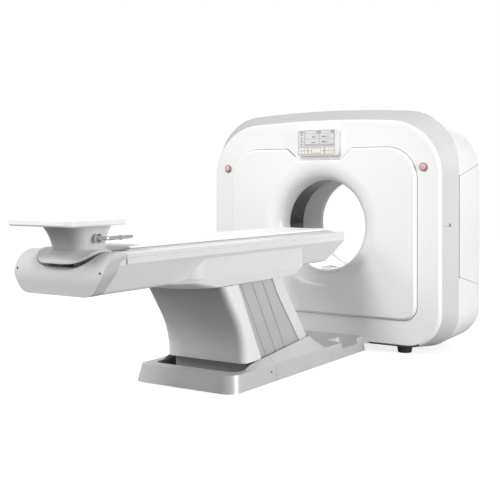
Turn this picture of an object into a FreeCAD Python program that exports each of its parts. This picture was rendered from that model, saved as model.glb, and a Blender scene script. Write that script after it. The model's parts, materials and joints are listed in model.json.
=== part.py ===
"""CT scanner: a floor-standing gantry with a turning X-ray assembly, and a patient
table on a leaning parallelogram lift whose cradle slides into the bore.

Lengths are millimetres. X runs across the table, Y from the table's foot end towards
the gantry's back, Z up from the floor. Each piece is drawn about the gantry's datum
plane (Y = 0, just behind the front cover's edge) and then placed so that the whole
machine's footprint is centred on the origin.
"""
import FreeCAD, Part
import Sketcher
import math
import os

doc = FreeCAD.newDocument("ct_scanner")
V = FreeCAD.Vector

# ----------------------------------------------------------------------------
# Driving dimensions: name, value in mm, what it is
# ----------------------------------------------------------------------------
DIMENSIONS = [
    # bore
    ("bore_height", 968, "bore axis above the floor"),
    ("bore_front_radius", 362, "bore radius in the front funnel"),
    ("bore_middle_radius", 366, "bore radius in the scan window"),
    ("bore_rear_radius", 372, "bore radius in the rear cover"),
    ("bore_rim", 15, "bevel at the bore's rear rim"),
    ("bore_front_y", 49, "front edge of the scan window"),
    ("bore_middle_y", 280, "rear edge of the scan window"),
    ("window_wall", 4, "wall of the scan window ring"),
    ("funnel_wall", 6, "wall of the front and rear funnels"),
    ("bell_radius", 156, "radius of the bell mouth round the bore"),
    # gantry covers
    ("cover_edge_y", -67, "front cover meets the side band"),
    ("cover_front_y", -97, "front face of the front cover"),
    ("panel_front_y", -125, "front face of the proud inner panel"),
    ("band_rear_y", 80, "side band meets the rear cover"),
    ("rear_face_y", 660, "rear face of the gantry"),
    ("cover_wall", 6, "wall of the gantry covers"),
    ("seam_gap", 0.8, "gap at the cover seams"),
    ("crown_round", 9000, "radius of the slightly arched top edge"),
    ("crown_slope", 0.056, "fall of the top edge's tangents per length"),
    ("crown_rise", 15, "tangent apex above the arched top edge"),
    ("front_half", 1025, "front cover's half width"),
    ("front_top_rise", 843, "front cover's top, from the bore axis"),
    ("front_bottom", 54, "front cover's lower edge"),
    ("top_round", 430, "upper corners of the gantry"),
    ("bottom_round", 275, "lower corners of the gantry"),
    ("front_edge_round", 26, "rounded edge of the front cover"),
    ("band_half", 1100, "band's half width at its rear edge"),
    ("band_top_rise", 929, "band's top at its rear edge, from the bore axis"),
    ("band_bottom", 50, "band's lower edge"),
    ("rear_step", 27, "rear cover narrower than the band at the back"),
    ("rear_top_rise", 864, "rear cover's top at the back, from the bore axis"),
    ("rear_bottom", 50, "rear cover's lower edge"),
    ("rear_bevel", 40, "bevelled edge of the rear cover"),
    # inner face panel
    ("panel_half", 837, "inner panel's half width"),
    ("panel_top_rise", 616, "inner panel's top, from the bore axis"),
    ("panel_bottom", 260, "inner panel's lower edge"),
    ("panel_top_round", 250, "inner panel's upper corners"),
    ("panel_bottom_round", 115, "inner panel's lower corners"),
    ("panel_edge_round", 18, "bevelled front edge of the inner panel"),
    ("panel_gap", 4, "visible joint round the inner panel"),
    ("panel_flange", 10, "inner panel's flange behind the front cover"),
    ("notch_top_half", 300, "console notch half width at the top"),
    ("notch_bottom_half", 195, "console notch half width at its floor"),
    ("notch_floor_rise", 524, "floor of the console notch, from the bore axis"),
    ("notch_round", 26, "corners of the console notch"),
    ("skirt_top_half", 370, "lower centre panel's half width at the top"),
    ("skirt_bottom_half", 434, "lower centre panel's half width at the bottom"),
    # console and controls
    ("console_half", 183, "console's half width"),
    ("console_bottom_rise", 558, "console's lower edge, from the bore axis"),
    ("console_top_rise", 767, "console's upper edge, from the bore axis"),
    ("console_depth", 36, "console stands proud of the cover"),
    ("console_round", 10, "console corners"),
    ("screen_left", -178, "display's left edge"),
    ("screen_right", 156, "display's right edge"),
    ("screen_bottom_rise", 635, "display's lower edge, from the bore axis"),
    ("screen_depth", 4, "display and keypad sink into the console"),
    ("keypad_bottom_rise", 565, "keypad's lower edge, from the bore axis"),
    ("key_columns", 11, "keys in a row"),
    ("key_rise", 1, "keys stand proud of the keypad"),
    ("estop_x", 890, "emergency stop from the middle"),
    ("estop_height_rise", 461, "emergency stop, from the bore axis"),
    ("estop_radius", 23, "emergency stop cap"),
    ("estop_collar", 31, "emergency stop collar"),
    ("estop_travel", 5, "emergency stop's push"),
    ("lock_height_rise", 22, "cover lock, from the bore axis"),
    ("lock_radius", 12, "cover lock barrel"),
    # side panel and grip channel
    ("grip_depth", 34, "depth of the grip channel"),
    ("grip_rear_y", 118, "rear wall of the grip channel"),
    ("grip_bottom_rise", -378, "lower end of the grip channel, from the bore axis"),
    ("grip_top_rise", 394, "upper end of the grip channel, from the bore axis"),
    ("side_rear_y", 600, "rear seam of the side panel"),
    ("side_slant", 95, "rise of the side panel's seams to the rear"),
    ("side_gap", 3, "visible joint over and under the side panel"),
    # gantry frame, bearing and drive
    ("foot_height", 62, "levelling foot, into the covers' undersides"),
    ("foot_radius", 62, "levelling foot at the top"),
    ("foot_base_radius", 52, "levelling foot at the floor"),
    ("foot_x", 690, "levelling feet from the middle"),
    ("foot_front_y", 12, "front feet"),
    ("foot_rear_y", 545, "rear feet"),
    ("beam_width", 160, "floor beam width"),
    ("beam_height", 110, "floor beam height"),
    ("plate_y", 400, "front face of the upright plate"),
    ("plate_thickness", 40, "upright plate"),
    ("plate_half", 950, "upright plate's half width at the floor"),
    ("plate_hole", 470, "hole in the upright plate"),
    ("race_radius", 472, "bearing running radius"),
    ("race_width", 52, "bearing races from inside to outside"),
    ("race_clearance", 0.3, "radial clearance in the bearing"),
    ("rotor_front_y", 300, "front face of the rotor disc"),
    ("rotor_thickness", 40, "rotor disc"),
    ("rotor_radius", 800, "rotor disc's rim, which the belt runs on"),
    ("slip_inner", 620, "slip ring's inner radius"),
    ("slip_outer", 760, "slip ring's outer radius"),
    ("slip_thickness", 12, "slip ring"),
    ("motor_inset", 90, "drive motor inside the upright plate's edge"),
    ("motor_z", -638, "drive motor from the bore axis"),
    ("motor_radius", 85, "drive motor housing"),
    ("motor_length", 150, "drive motor housing"),
    ("pulley_radius", 60, "drive pulley"),
    ("shaft_radius", 18, "drive motor shaft"),
    ("belt_thickness", 5, "drive belt"),
    ("fit_clearance", 0.05, "radial clearance of a running fit"),
    ("near_clearance", 0.3, "clearance of pieces that seat on each other"),
    # X-ray assembly
    ("tube_radius", 85, "X-ray tube housing"),
    ("tube_offset", 655, "X-ray tube from the bore axis"),
    ("tube_front_y", 55, "front of the X-ray tube"),
    ("detector_inner", 470, "detector arc's inner radius"),
    ("detector_outer", 565, "detector arc's outer radius"),
    ("detector_half_angle", 34, "detector arc, half of its spread in degrees"),
    ("case_inset", 48, "generator and cooler inside the rotor's rim"),
    ("case_round", 16, "upright corners of the cases"),
    ("case_depth", 210, "cases stand proud of the rotor disc"),
    ("generator_width", 250, "high voltage generator"),
    ("generator_height", 280, "high voltage generator"),
    ("cooler_width", 235, "heat exchanger"),
    ("cooler_height", 310, "heat exchanger"),
    ("cooler_slot", 8, "width of the heat exchanger's slots"),
    ("cooler_slots", 8, "slots in the heat exchanger"),
    ("data_box_x", -460, "data and power box from the bore axis"),
    ("data_box_z", -465, "data and power box from the bore axis"),
    ("data_box_side", 158, "data and power box"),
    # table base
    ("plinth_half", 402, "plinth's half width at the floor"),
    ("plinth_top_half", 384, "plinth's half width at the top"),
    ("plinth_height", 110, "plinth's height"),
    ("plinth_foot_y", -1934, "plinth's foot end at the floor"),
    ("plinth_foot_slope", 24, "slope of the plinth's foot end"),
    ("plinth_round", 90, "plinth's foot corners"),
    ("plinth_wall", 6, "wall of the plinth covers"),
    ("plinth_gap", 2.5, "visible joints between the plinth covers"),
    ("foot_seam_y", -1409, "seam between foot and middle covers"),
    ("rear_seam_y", -645, "seam between middle and rear covers"),
    ("plinth_rear_y", -97.3, "plinth's end at the gantry"),
    ("well_half", 332, "half width of the well round the pedestal"),
    ("well_foot_y", -1800, "foot end of the well"),
    ("kick_top", 125, "upper edge of the fixed panel under the front cover"),
    ("collar_start_y", -1720, "collar's foot end at the deck"),
    ("collar_front_y", -1620, "collar's foot end at its crest"),
    ("collar_front_z", 135, "collar's crest at the foot end"),
    ("collar_rear_y", -862, "collar's crest at the rear"),
    ("collar_rear_z", 215, "collar's crest at the rear"),
    ("pocket_front_y", -460, "side pocket's foot end"),
    ("pocket_rear_y", -208, "side pocket's gantry end"),
    ("pocket_floor", 66, "side pocket's floor"),
    ("pocket_inner_x", 240, "side pocket's inner wall"),
    ("base_plate", 12, "base plate"),
    ("base_foot_y", -1600, "base plate's foot end"),
    ("anchor_x", 300, "floor anchors from the middle"),
    ("anchor_front_y", -1000, "front floor anchors"),
    ("anchor_rear_y", -250, "rear floor anchors"),
    ("anchor_radius", 9, "floor anchor holes"),
    ("cheek_x", 259, "inner face of the pivot cheeks"),
    ("cheek_thickness", 12, "pivot cheeks"),
    ("cheek_top", 165, "top of the pivot cheeks"),
    # lift linkage
    ("pivot_height", 135, "lower pivots above the floor"),
    ("front_pivot_y", -1470, "lower pivot of the front arm"),
    ("rear_pivot_y", -930, "lower pivot of the rear arm"),
    ("link_reach", -339.5, "upper pivot from lower pivot along Y"),
    ("link_rise", 565, "upper pivot from lower pivot along Z"),
    ("shaft_pivot_radius", 15, "pivot shafts"),
    ("arm_x", 205, "inner face of the arm plates"),
    ("arm_thickness", 20, "arm plates"),
    ("arm_half", 33, "half width of the arm plates"),
    ("tie_radius", 26, "tie tubes between the arm plates"),
    ("crank_reach", 34.2, "crank pin from the front pivot along Y"),
    ("crank_rise", 94, "crank pin from the front pivot along Z"),
    ("crank_pin_radius", 10, "crank pin"),
    ("ram_radius", 14, "ram rod"),
    ("ram_housing_radius", 28, "ram housing"),
    ("ram_housing_front_y", -1330, "ram housing's open end"),
    ("ram_housing_rear_y", -1090, "ram housing's closed end"),
    ("ram_slot_clearance", 1, "side clearance of the crank pin's slot"),
    # pedestal covers and side slats
    ("pedestal_half", 318, "pedestal's half width"),
    ("pedestal_wall", 5, "wall of the pedestal covers"),
    ("pedestal_front_y", -1674, "front cover at the bottom"),
    ("pedestal_bottom", 142, "front cover's lower edge"),
    ("pedestal_bend_z", 304, "where the front cover's two tangents meet"),
    ("pedestal_bend_round", 495, "radius of the front cover's sweep"),
    ("pedestal_top_y", -1928, "front cover at the top"),
    ("pedestal_top", 662, "top of the pedestal covers"),
    ("pedestal_corner", 48, "rounded upright corners of the pedestal"),
    ("flange_top_y", -1749, "front cover's rear edge at the top"),
    ("flange_bottom_y", -1470, "front cover's rear edge at the bottom"),
    ("rear_strip_top_y", -1224, "rear cover's outer face at the top"),
    ("rear_strip_bottom_y", -852, "rear cover's outer face at the bottom"),
    ("rear_strip_bottom", 190, "rear cover's lower edge"),
    ("rear_strip_width", 108, "width of the rear cover's side strips"),
    ("rear_strip_low_width", 118, "width of the side strips at their lower end"),
    ("rear_strip_bend_width", 126, "width of the side strips at their bend"),
    ("slat_thickness", 2, "side slats"),
    ("slat_pitch", 3, "step outwards from one slat to the next"),
    ("slat_gap", 1.5, "last slat inside the rear cover's wall"),
    ("slat_overlap", 14, "slats run under the next one to the rear"),
    ("slat_top", 690, "top of the side slats"),
    ("slat_bottom", 122, "bottom of the side slats"),
    ("slat_rod_radius", 6, "slat pivot rods"),
    ("slat_edge_1", -1749, "first slat's visible foot edge at the pedestal's top"),
    ("slat_edge_2", -1700, "seam of slats 1 and 2 at the top"),
    ("slat_edge_3", -1577, "seam of slats 2 and 3 at the top"),
    ("slat_edge_4", -1454, "seam of slats 3 and 4 at the top"),
    ("slat_edge_5", -1318, "end of the last slat's share of the top, which places its pivot"),
    ("slat_rear_top_y", -1342, "last slat's rear edge at the top"),
    ("slat_rear_bottom_y", -914, "last slat's rear edge at the bottom"),
    # table top
    ("table_head_y", -322, "head end of the table"),
    ("table_foot_y", -2858, "foot end of the rails"),
    ("rail_half", 355, "half width over the side rails"),
    ("rail_bottom", 874, "lower edge of the side rails"),
    ("rail_top", 934, "table deck"),
    ("rail_groove", 908, "groove along the rails"),
    ("rail_wall", 10, "rail wall"),
    ("deck_wall", 6, "deck and trough wall"),
    ("trough_half", 222, "half width of the cradle's trough"),
    ("trough_floor", 854, "floor of the cradle's trough"),
    ("head_round", 46, "deck corners at the head end"),
    ("boat_half", 262, "boat's half width at the bottom"),
    ("boat_bottom", 712, "boat's bottom"),
    ("boat_round", 36, "boat's lower edges"),
    ("boat_wall", 5, "wall of the boat shell"),
    ("bow_low_y", -500, "where the bow starts to rise"),
    ("bow_round", 70, "radius under the bow"),
    ("hatch_half", 250, "half width of the opening over the pedestal"),
    ("hatch_foot_y", -2010, "foot end of the opening over the pedestal"),
    ("hatch_head_y", -1120, "head end of the opening over the pedestal"),
    ("frame_beam_x", 150, "inner face of the table beams"),
    ("frame_beam_width", 50, "table beams"),
    ("frame_bottom", 752, "underside of the table beams"),
    ("hanger_x", 231, "inner face of the pivot hangers"),
    ("hanger_thickness", 12, "pivot hangers"),
    # saddle fairing
    ("saddle_bottom", 668, "saddle's lower edge"),
    ("saddle_middle", 716, "saddle's widest fullness below the boat"),
    ("saddle_top", 852, "saddle's upper edge"),
    ("saddle_bottom_half", 333, "saddle's half width at the bottom"),
    ("saddle_middle_half", 338, "saddle's half width at its middle"),
    ("saddle_top_half", 336, "saddle's half width at the top"),
    ("saddle_nose_y", -2200, "saddle's foot end at the bottom"),
    ("saddle_nose_middle_y", -2440, "saddle's foot end where it meets the boat's bottom"),
    ("saddle_waist", 735, "height at which the saddle draws in at the foot end"),
    ("saddle_waist_y", -2312, "saddle's foot end at that height"),
    ("saddle_nose_top_y", -2318, "saddle's foot end at the top"),
    ("saddle_tail_y", -985, "saddle's head end at the bottom"),
    ("saddle_tail_middle_y", -895, "saddle's head end at its middle"),
    ("saddle_nose_round", 240, "saddle's corners at the foot end"),
    ("saddle_tail_round", 90, "saddle's corners at the head end"),
    ("saddle_cavity_half", 325, "half width of the saddle's cavity"),
    # foot-end cap
    ("cap_front_y", -3035, "front face of the foot-end cap"),
    ("cap_half", 326, "cap's half width at its front"),
    ("cap_top", 947, "cap's top"),
    ("cap_bottom", 705, "cap's bottom"),
    ("cap_flare", 70, "cap narrower at the bottom than at its side"),
    ("cap_side_z", 809, "where the cap's side turns under"),
    ("cap_low_round", 100, "cap's lower corners at its front"),
    ("cap_top_round", 84, "cap's upper corners at its front"),
    ("cap_nose_round", 170, "cap's rounded top front edge"),
    ("cap_bowl_half", 250, "half width of the bowl in the cap"),
    ("cap_bowl_round", 160, "radius of the bowl's sides"),
    ("cap_seam_low_y", -2957, "cap's seam with the boat at the bottom"),
    ("cap_seam_high_y", -2905, "seam under its rounded upper end"),
    ("cap_seam_top", 905, "height where the seam turns level"),
    ("cap_seam_round", 55, "radius of that turn"),
    ("cap_wall", 12, "cap's wall"),
    # cradle
    ("cradle_half", 236, "cradle's half width"),
    ("cradle_shell", 6, "cradle's thickness"),
    ("cradle_curve", 600, "radius of the cradle's middle"),
    ("cradle_flat", 16, "flat edge of the cradle inside the trough"),
    ("cradle_shoulder_round", 30, "cradle's soft shoulders"),
    ("cradle_dip", 38, "cradle's tangent dip in the middle"),
    ("cradle_head_y", -332, "cradle's head end"),
    ("cradle_foot_y", -2722, "cradle's foot end"),
    ("pad_half", 226, "mattress half width"),
    ("pad_top", 957, "mattress top"),
    ("pad_round", 6, "mattress edges"),
    ("pad_foot_y", -2690, "mattress foot end"),
    ("pad_head_y", -345, "mattress head end"),
    # tray and its pedestal
    ("lip_bottom", 876, "lower edge of the pedestal's oval foot"),
    ("lip_half", 225, "oval foot's half width"),
    ("lip_front_y", -3030, "oval foot's front"),
    ("lip_rear_y", -2723, "oval foot's rear"),
    ("lip_round", 130, "oval foot's corners"),
    ("lip_gap", 12, "foot clear of the cap's bowl"),
    ("wing_half", 212, "half width of the foot's level wings"),
    ("wing_depth", 26, "depth of the wings"),
    ("wing_front_y", -2965, "wings' front"),
    ("wing_round", 78, "wings' front corners"),
    ("runner_x", 62, "runners on the trough's floor from the middle"),
    ("neck_round", 105, "neck's corners"),
    ("neck_crease", 8, "foot wider than the neck at the crease"),
    ("neck_bottom", 942, "crease between foot and neck"),
    ("neck_middle", 1008, "height of the grab handles"),
    ("neck_top", 1078, "top of the neck"),
    ("neck_bottom_half", 126, "neck's half width at the crease"),
    ("neck_middle_half", 140, "neck's half width at the handles"),
    ("neck_top_half", 158, "neck's half width at the top"),
    ("neck_bottom_length", 260, "neck's length at the crease"),
    ("neck_middle_length", 300, "neck's length at the handles"),
    ("neck_top_length", 340, "neck's length at the top"),
    ("neck_y", -2866, "middle of the neck's foot"),
    ("neck_top_y", -2882, "middle of the neck's top"),
    ("tray_half", 236, "tray's half width"),
    ("tray_front_y", -3175, "tray's front"),
    ("tray_rear_y", -2705, "tray's rear"),
    ("tray_thickness", 40, "tray's height"),
    ("tray_corner", 42, "tray's corners"),
    ("tray_bevel", 8, "bevelled edges of the tray"),
    ("tray_rim", 24, "rim round the tray's dish"),
    ("tray_dish", 10, "depth of the tray's dish"),
    ("handle_radius", 10.5, "grab handle tube"),
    ("handle_x", 206, "grab handle from the middle"),
    ("handle_bend", 26, "grab handle's bend"),
    ("handle_end_y", -2652, "grab handle's free end"),
    ("handle_boss_radius", 25, "grab handle's boss"),
    ("handle_socket", 154, "grab handle's socket on the neck from the middle"),
    ("handle_boss", 10, "length of the grab handle's boss"),
]


class Size:
    """A length that carries both its value and the sheet formula that gives it."""

    def __init__(self, value, text):
        self.value = float(value)
        self.text = text

    def _join(self, other, sign, result):
        return Size(result, "(%s %s %s)" % (self.text, sign, as_size(other).text))

    def __add__(self, other):
        return self._join(other, "+", self.value + as_size(other).value)

    def __sub__(self, other):
        return self._join(other, "-", self.value - as_size(other).value)

    def __mul__(self, other):
        return self._join(other, "*", self.value * as_size(other).value)

    def __truediv__(self, other):
        return self._join(other, "/", self.value / as_size(other).value)

    def __radd__(self, other):
        return as_size(other) + self

    def __rsub__(self, other):
        return as_size(other) - self

    def __rmul__(self, other):
        return as_size(other) * self

    def __neg__(self):
        return Size(-self.value, "(0 - %s)" % self.text)


def as_size(value):
    """Wrap a plain number, so that sums of sizes and numbers stay formulas."""
    return value if isinstance(value, Size) else Size(value, "(%s)" % value)


class Sheet:
    """The spreadsheet of driving dimensions; sheet.name gives a Size."""

    def __init__(self, rows):
        self.table = doc.addObject("Spreadsheet::Sheet", "Sizes")
        self.values = {}
        for line, (alias, value, note) in enumerate(rows, start=1):
            self.table.set("A%d" % line, note)
            self.table.set("B%d" % line, str(value))
            self.table.setAlias("B%d" % line, alias)
            self.values[alias] = value
        doc.recompute()

    def __getattr__(self, alias):
        return Size(self.values[alias], "Sizes." + alias)


d = Sheet(DIMENSIONS)
NODES = []


# Sizes that follow from others: heights measured from the bore axis, and neighbours
# that keep their distance.
RISES = ("front_top", "band_top", "rear_top", "panel_top", "notch_floor", "console_bottom", "console_top",
         "screen_bottom", "keypad_bottom", "estop_height", "lock_height", "grip_bottom", "grip_top")
for name in RISES:
    setattr(d, name, d.bore_height + getattr(d, name + "_rise"))
d.rear_half = d.band_half - d.rear_step
d.motor_x = d.plate_half - d.motor_inset
d.base_half = (d.plinth_half - d.plinth_wall - d.near_clearance
               - (d.plinth_half - d.plinth_top_half) * d.base_plate / d.plinth_height)

# The footprint runs from the tray's front to the gantry's rear face.
centre_shift = -(d.tray_front_y + d.rear_face_y) / 2


# ----------------------------------------------------------------------------
# Modelling helpers
# ----------------------------------------------------------------------------
def bind(thing, prop, size):
    """Tie a property to the sheet."""
    thing.setExpression(prop, as_size(size).text)


def place(thing, x=0, y=0, z=0):
    """Place a sub-part in the row frame; y is measured from the gantry's datum."""
    bind(thing, "Placement.Base.x", x)
    bind(thing, "Placement.Base.y", centre_shift + y)
    bind(thing, "Placement.Base.z", z)


def new_body(label, x=0, y=0, z=0):
    body = doc.addObject("PartDesign::Body", label)
    body.Label = label
    place(body, x, y, z)
    NODES.append(body)
    return body


def origin(body, role):
    return next(item for item in body.Origin.OriginFeatures if item.Role == role)


def new_sketch(body, plane, at=0):
    """A sketch on one of the body's planes, moved to `at` along the axis it faces."""
    sketch = body.newObject("Sketcher::SketchObject", body.Label + "_sketch")
    sketch.AttachmentSupport = (origin(body, plane + "_Plane"), [""])
    sketch.MapMode = "FlatFace"
    bind(sketch, "AttachmentOffset.Base.z", -as_size(at) if plane == "XZ" else at)
    return sketch


def fix_point(sketch, geometry, end, x, y):
    """Hold one point of a sketch at a place given by the sheet."""
    for kind, size in (("DistanceX", as_size(x)), ("DistanceY", as_size(y))):
        index = sketch.addConstraint(Sketcher.Constraint(kind, -1, 1, geometry, end, size.value))
        sketch.setExpression("Constraints[%d]" % index, size.text)


def fix_radius(sketch, geometry, size):
    index = sketch.addConstraint(Sketcher.Constraint("Radius", geometry, size.value))
    sketch.setExpression("Constraints[%d]" % index, size.text)


def corner_arc(before, corner, after, radius):
    """Tangent arc of a radius in a corner: its start, its middle and its end."""
    towards_before = (before - corner).normalize()
    towards_after = (after - corner).normalize()
    half = towards_before.getAngle(towards_after) / 2
    tangent = radius / math.tan(half)
    bisector = (towards_before + towards_after).normalize()
    middle = corner + bisector * (radius / math.sin(half) - radius)
    return corner + towards_before * tangent, middle, corner + towards_after * tangent


def outline(sketch, corners):
    """Closed outline through corners (x, y) or (x, y, radius) of sizes."""
    points = [V(as_size(c[0]).value, as_size(c[1]).value, 0) for c in corners]
    count = len(corners)
    ends = []
    for i, corner in enumerate(corners):
        if len(corner) == 3:
            arc = corner_arc(V(points[i - 1]), V(points[i]), V(points[(i + 1) % count]),
                             as_size(corner[2]).value)
            ends.append((arc[0], arc[2], arc[1]))
        else:
            ends.append((points[i], points[i], None))
    lines = [sketch.addGeometry(Part.LineSegment(ends[i][1], ends[(i + 1) % count][0]))
             for i in range(count)]
    for i, corner in enumerate(corners):
        line_in, line_out = lines[i - 1], lines[i]
        if len(corner) == 2:
            sketch.addConstraint(Sketcher.Constraint("Coincident", line_in, 2, line_out, 1))
            fix_point(sketch, line_out, 1, corner[0], corner[1])
            continue
        start, end, middle = ends[i]
        arc = sketch.addGeometry(Part.Arc(start, middle, end))
        # sketch arcs always run anticlockwise, whichever way the outline turns here
        anticlockwise = (middle - start).cross(end - middle).z > 0
        first, last = (1, 2) if anticlockwise else (2, 1)
        sketch.addConstraint(Sketcher.Constraint("Tangent", line_in, 2, arc, first))
        sketch.addConstraint(Sketcher.Constraint("Tangent", arc, last, line_out, 1))
        fix_radius(sketch, arc, as_size(corner[2]))
        apex = sketch.addGeometry(Part.Point(points[i]), True)
        fix_point(sketch, apex, 1, corner[0], corner[1])
        sketch.addConstraint(Sketcher.Constraint("PointOnObject", apex, 1, line_in))
        sketch.addConstraint(Sketcher.Constraint("PointOnObject", apex, 1, line_out))
    return sketch


def ring(sketch, x, y, *radii):
    """Circles about one centre."""
    for radius in radii:
        centre = V(as_size(x).value, as_size(y).value, 0)
        circle = sketch.addGeometry(Part.Circle(centre, V(0, 0, 1), as_size(radius).value))
        fix_point(sketch, circle, 3, x, y)
        fix_radius(sketch, circle, as_size(radius))
    return sketch


def rectangle(sketch, x0, x1, y0, y1, radius=None):
    corners = [(x0, y0), (x1, y0), (x1, y1), (x0, y1)]
    if radius is not None:
        corners = [corner + (radius,) for corner in corners]
    return outline(sketch, corners)


def mirrored(corners):
    """Add the left half of a symmetric outline whose right half is given bottom to top."""
    left = [(-as_size(c[0]),) + tuple(c[1:]) for c in reversed(corners)]
    return corners + left


def extrude(kind, body, sketch, length, towards=1):
    """Pad or pocket a sketch along its plane's axis, towards + or -, or 0 for both ways."""
    feature = body.newObject("PartDesign::" + kind, body.Label + "_" + kind.lower())
    feature.Profile = sketch
    bind(feature, "Length", length)
    facing = -1 if "XZ" in sketch.AttachmentSupport[0][0].Role else 1
    if towards == 0:
        feature.SideType = "Symmetric"
    elif kind == "Pad":
        feature.Reversed = towards != facing
    else:
        feature.Reversed = towards == facing
    sketch.Visibility = False
    return feature


def pad(body, sketch, length, towards=1):
    return extrude("Pad", body, sketch, length, towards)


def pocket(body, sketch, length, towards=1):
    return extrude("Pocket", body, sketch, length, towards)


def revolve(body, sketch, axis, kind="Revolution"):
    feature = body.newObject("PartDesign::" + kind, body.Label + "_" + kind.lower())
    feature.Profile = sketch
    feature.ReferenceAxis = (origin(body, axis + "_Axis"), [""])
    feature.Angle = 360
    return feature


def loft(body, sketches, kind="AdditiveLoft", ruled=True):
    feature = body.newObject("PartDesign::" + kind, body.Label + "_loft")
    feature.Profile = sketches[0]
    feature.Sections = sketches[1:]
    feature.Ruled = ruled
    return feature


def mirror(body, features, plane="YZ"):
    feature = body.newObject("PartDesign::Mirrored", body.Label + "_mirror")
    feature.Originals = features
    feature.MirrorPlane = (origin(body, plane + "_Plane"), [""])
    body.Tip = feature
    return feature


def row(body, feature, axis, span, count):
    """Repeat a feature along an axis."""
    pattern = body.newObject("PartDesign::LinearPattern", body.Label + "_row")
    pattern.Originals = [feature]
    pattern.Direction = (origin(body, axis + "_Axis"), [""])
    bind(pattern, "Length", span)
    bind(pattern, "Occurrences", count)
    body.Tip = pattern
    return pattern


def dress(kind, prop, body, size, chosen):
    """Dress the edges of the body's tip that `chosen` accepts, by their bounding box."""
    doc.recompute()
    base = body.Tip
    names = ["Edge%d" % (i + 1) for i, edge in enumerate(base.Shape.Edges)
             if chosen(edge.BoundBox)]
    feature = body.newObject("PartDesign::" + kind, body.Label + "_" + kind.lower())
    feature.Base = (base, names)
    bind(feature, prop, size)
    return feature


def fillet(body, radius, chosen):
    return dress("Fillet", "Radius", body, radius, chosen)


def chamfer(body, size, chosen):
    return dress("Chamfer", "Size", body, size, chosen)


def near(a, b, tolerance=0.05):
    return abs(a - as_size(b).value) < tolerance


def ease(body, radius, front):
    """Round the front face's edges with three narrow bevels tangent to the radius."""
    eighth = math.tan(math.pi / 8)
    first = radius * (2 - math.sqrt(2))
    chamfer(body, first, lambda b: near(b.YMin, front) and near(b.YMax, front))
    chamfer(body, radius * (eighth - math.tan(math.pi / 16)),
            lambda b: b.YLength < 0.05 and (near(b.YMin, front) or near(b.YMin, front + first)))


# ----------------------------------------------------------------------------
# Gantry covers
# ----------------------------------------------------------------------------
def gantry_outline(half, bottom, top, inset):
    """Rounded square of the gantry with its slightly arched top, drawn in X and Z."""
    side = half - inset
    shoulder = top - inset + d.crown_rise - side * d.crown_slope
    return [(-side, bottom + inset, d.bottom_round - inset), (side, bottom + inset, d.bottom_round - inset),
            (side, shoulder, d.top_round - inset), (0, top - inset + d.crown_rise, d.crown_round),
            (-side, shoulder, d.top_round - inset)]


def front_outline(inset=0):
    return gantry_outline(d.front_half, d.front_bottom, d.front_top, inset)


def band_outline(inset=0):
    return gantry_outline(d.band_half, d.band_bottom, d.band_top, inset)


def rear_outline(inset=0):
    return gantry_outline(d.rear_half, d.rear_bottom, d.rear_top, inset)


def panel_outline(grow=0):
    """Inner face panel with the console notch in its top edge."""
    half = d.panel_half + grow
    return mirrored([
        (half, d.panel_bottom - grow, d.panel_bottom_round + grow),
        (half, d.panel_top + grow, d.panel_top_round + grow),
        (d.notch_top_half - grow, d.panel_top + grow, d.notch_round - grow),
        (d.notch_bottom_half - grow, d.notch_floor + grow, d.notch_round + grow)])


def lower_panel_outline(grow=0):
    """Centre panel under the face panel, which the table's plinth stands in front of."""
    top = d.panel_bottom - d.cover_wall * 2 - d.seam_gap + grow
    return mirrored([
        (d.skirt_bottom_half + grow, d.front_bottom - grow),
        (d.skirt_bottom_half - d.cover_wall + grow, (d.front_bottom + top) / 2, 120),
        (d.skirt_top_half + grow, top)])


def front_cover():
    body = new_body("front_cover")
    depth = d.cover_edge_y - d.cover_front_y
    pad(body, outline(new_sketch(body, "XZ", d.cover_edge_y), front_outline()), depth, -1)
    ease(body, d.front_edge_round, d.cover_front_y)
    # the inside steps in behind the rounded edge
    for inset, length in ((d.cover_wall, depth - d.front_edge_round),
                          (d.front_edge_round, depth - d.cover_wall)):
        pocket(body, outline(new_sketch(body, "XZ", d.cover_edge_y), front_outline(inset)), length, -1)
    window = outline(new_sketch(body, "XZ", d.cover_edge_y), panel_outline(d.panel_gap))
    pocket(body, window, depth * 2, -1)
    opening = outline(new_sketch(body, "XZ", d.cover_edge_y), lower_panel_outline(d.seam_gap))
    pocket(body, opening, depth * 2, -1)
    stop_hole = new_sketch(body, "XZ", d.cover_edge_y)
    ring(stop_hole, d.estop_x, d.estop_height, d.estop_radius / 2)
    ring(stop_hole, -d.estop_x, d.estop_height, d.estop_radius / 2)
    pocket(body, stop_hole, depth * 2, -1)


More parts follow.
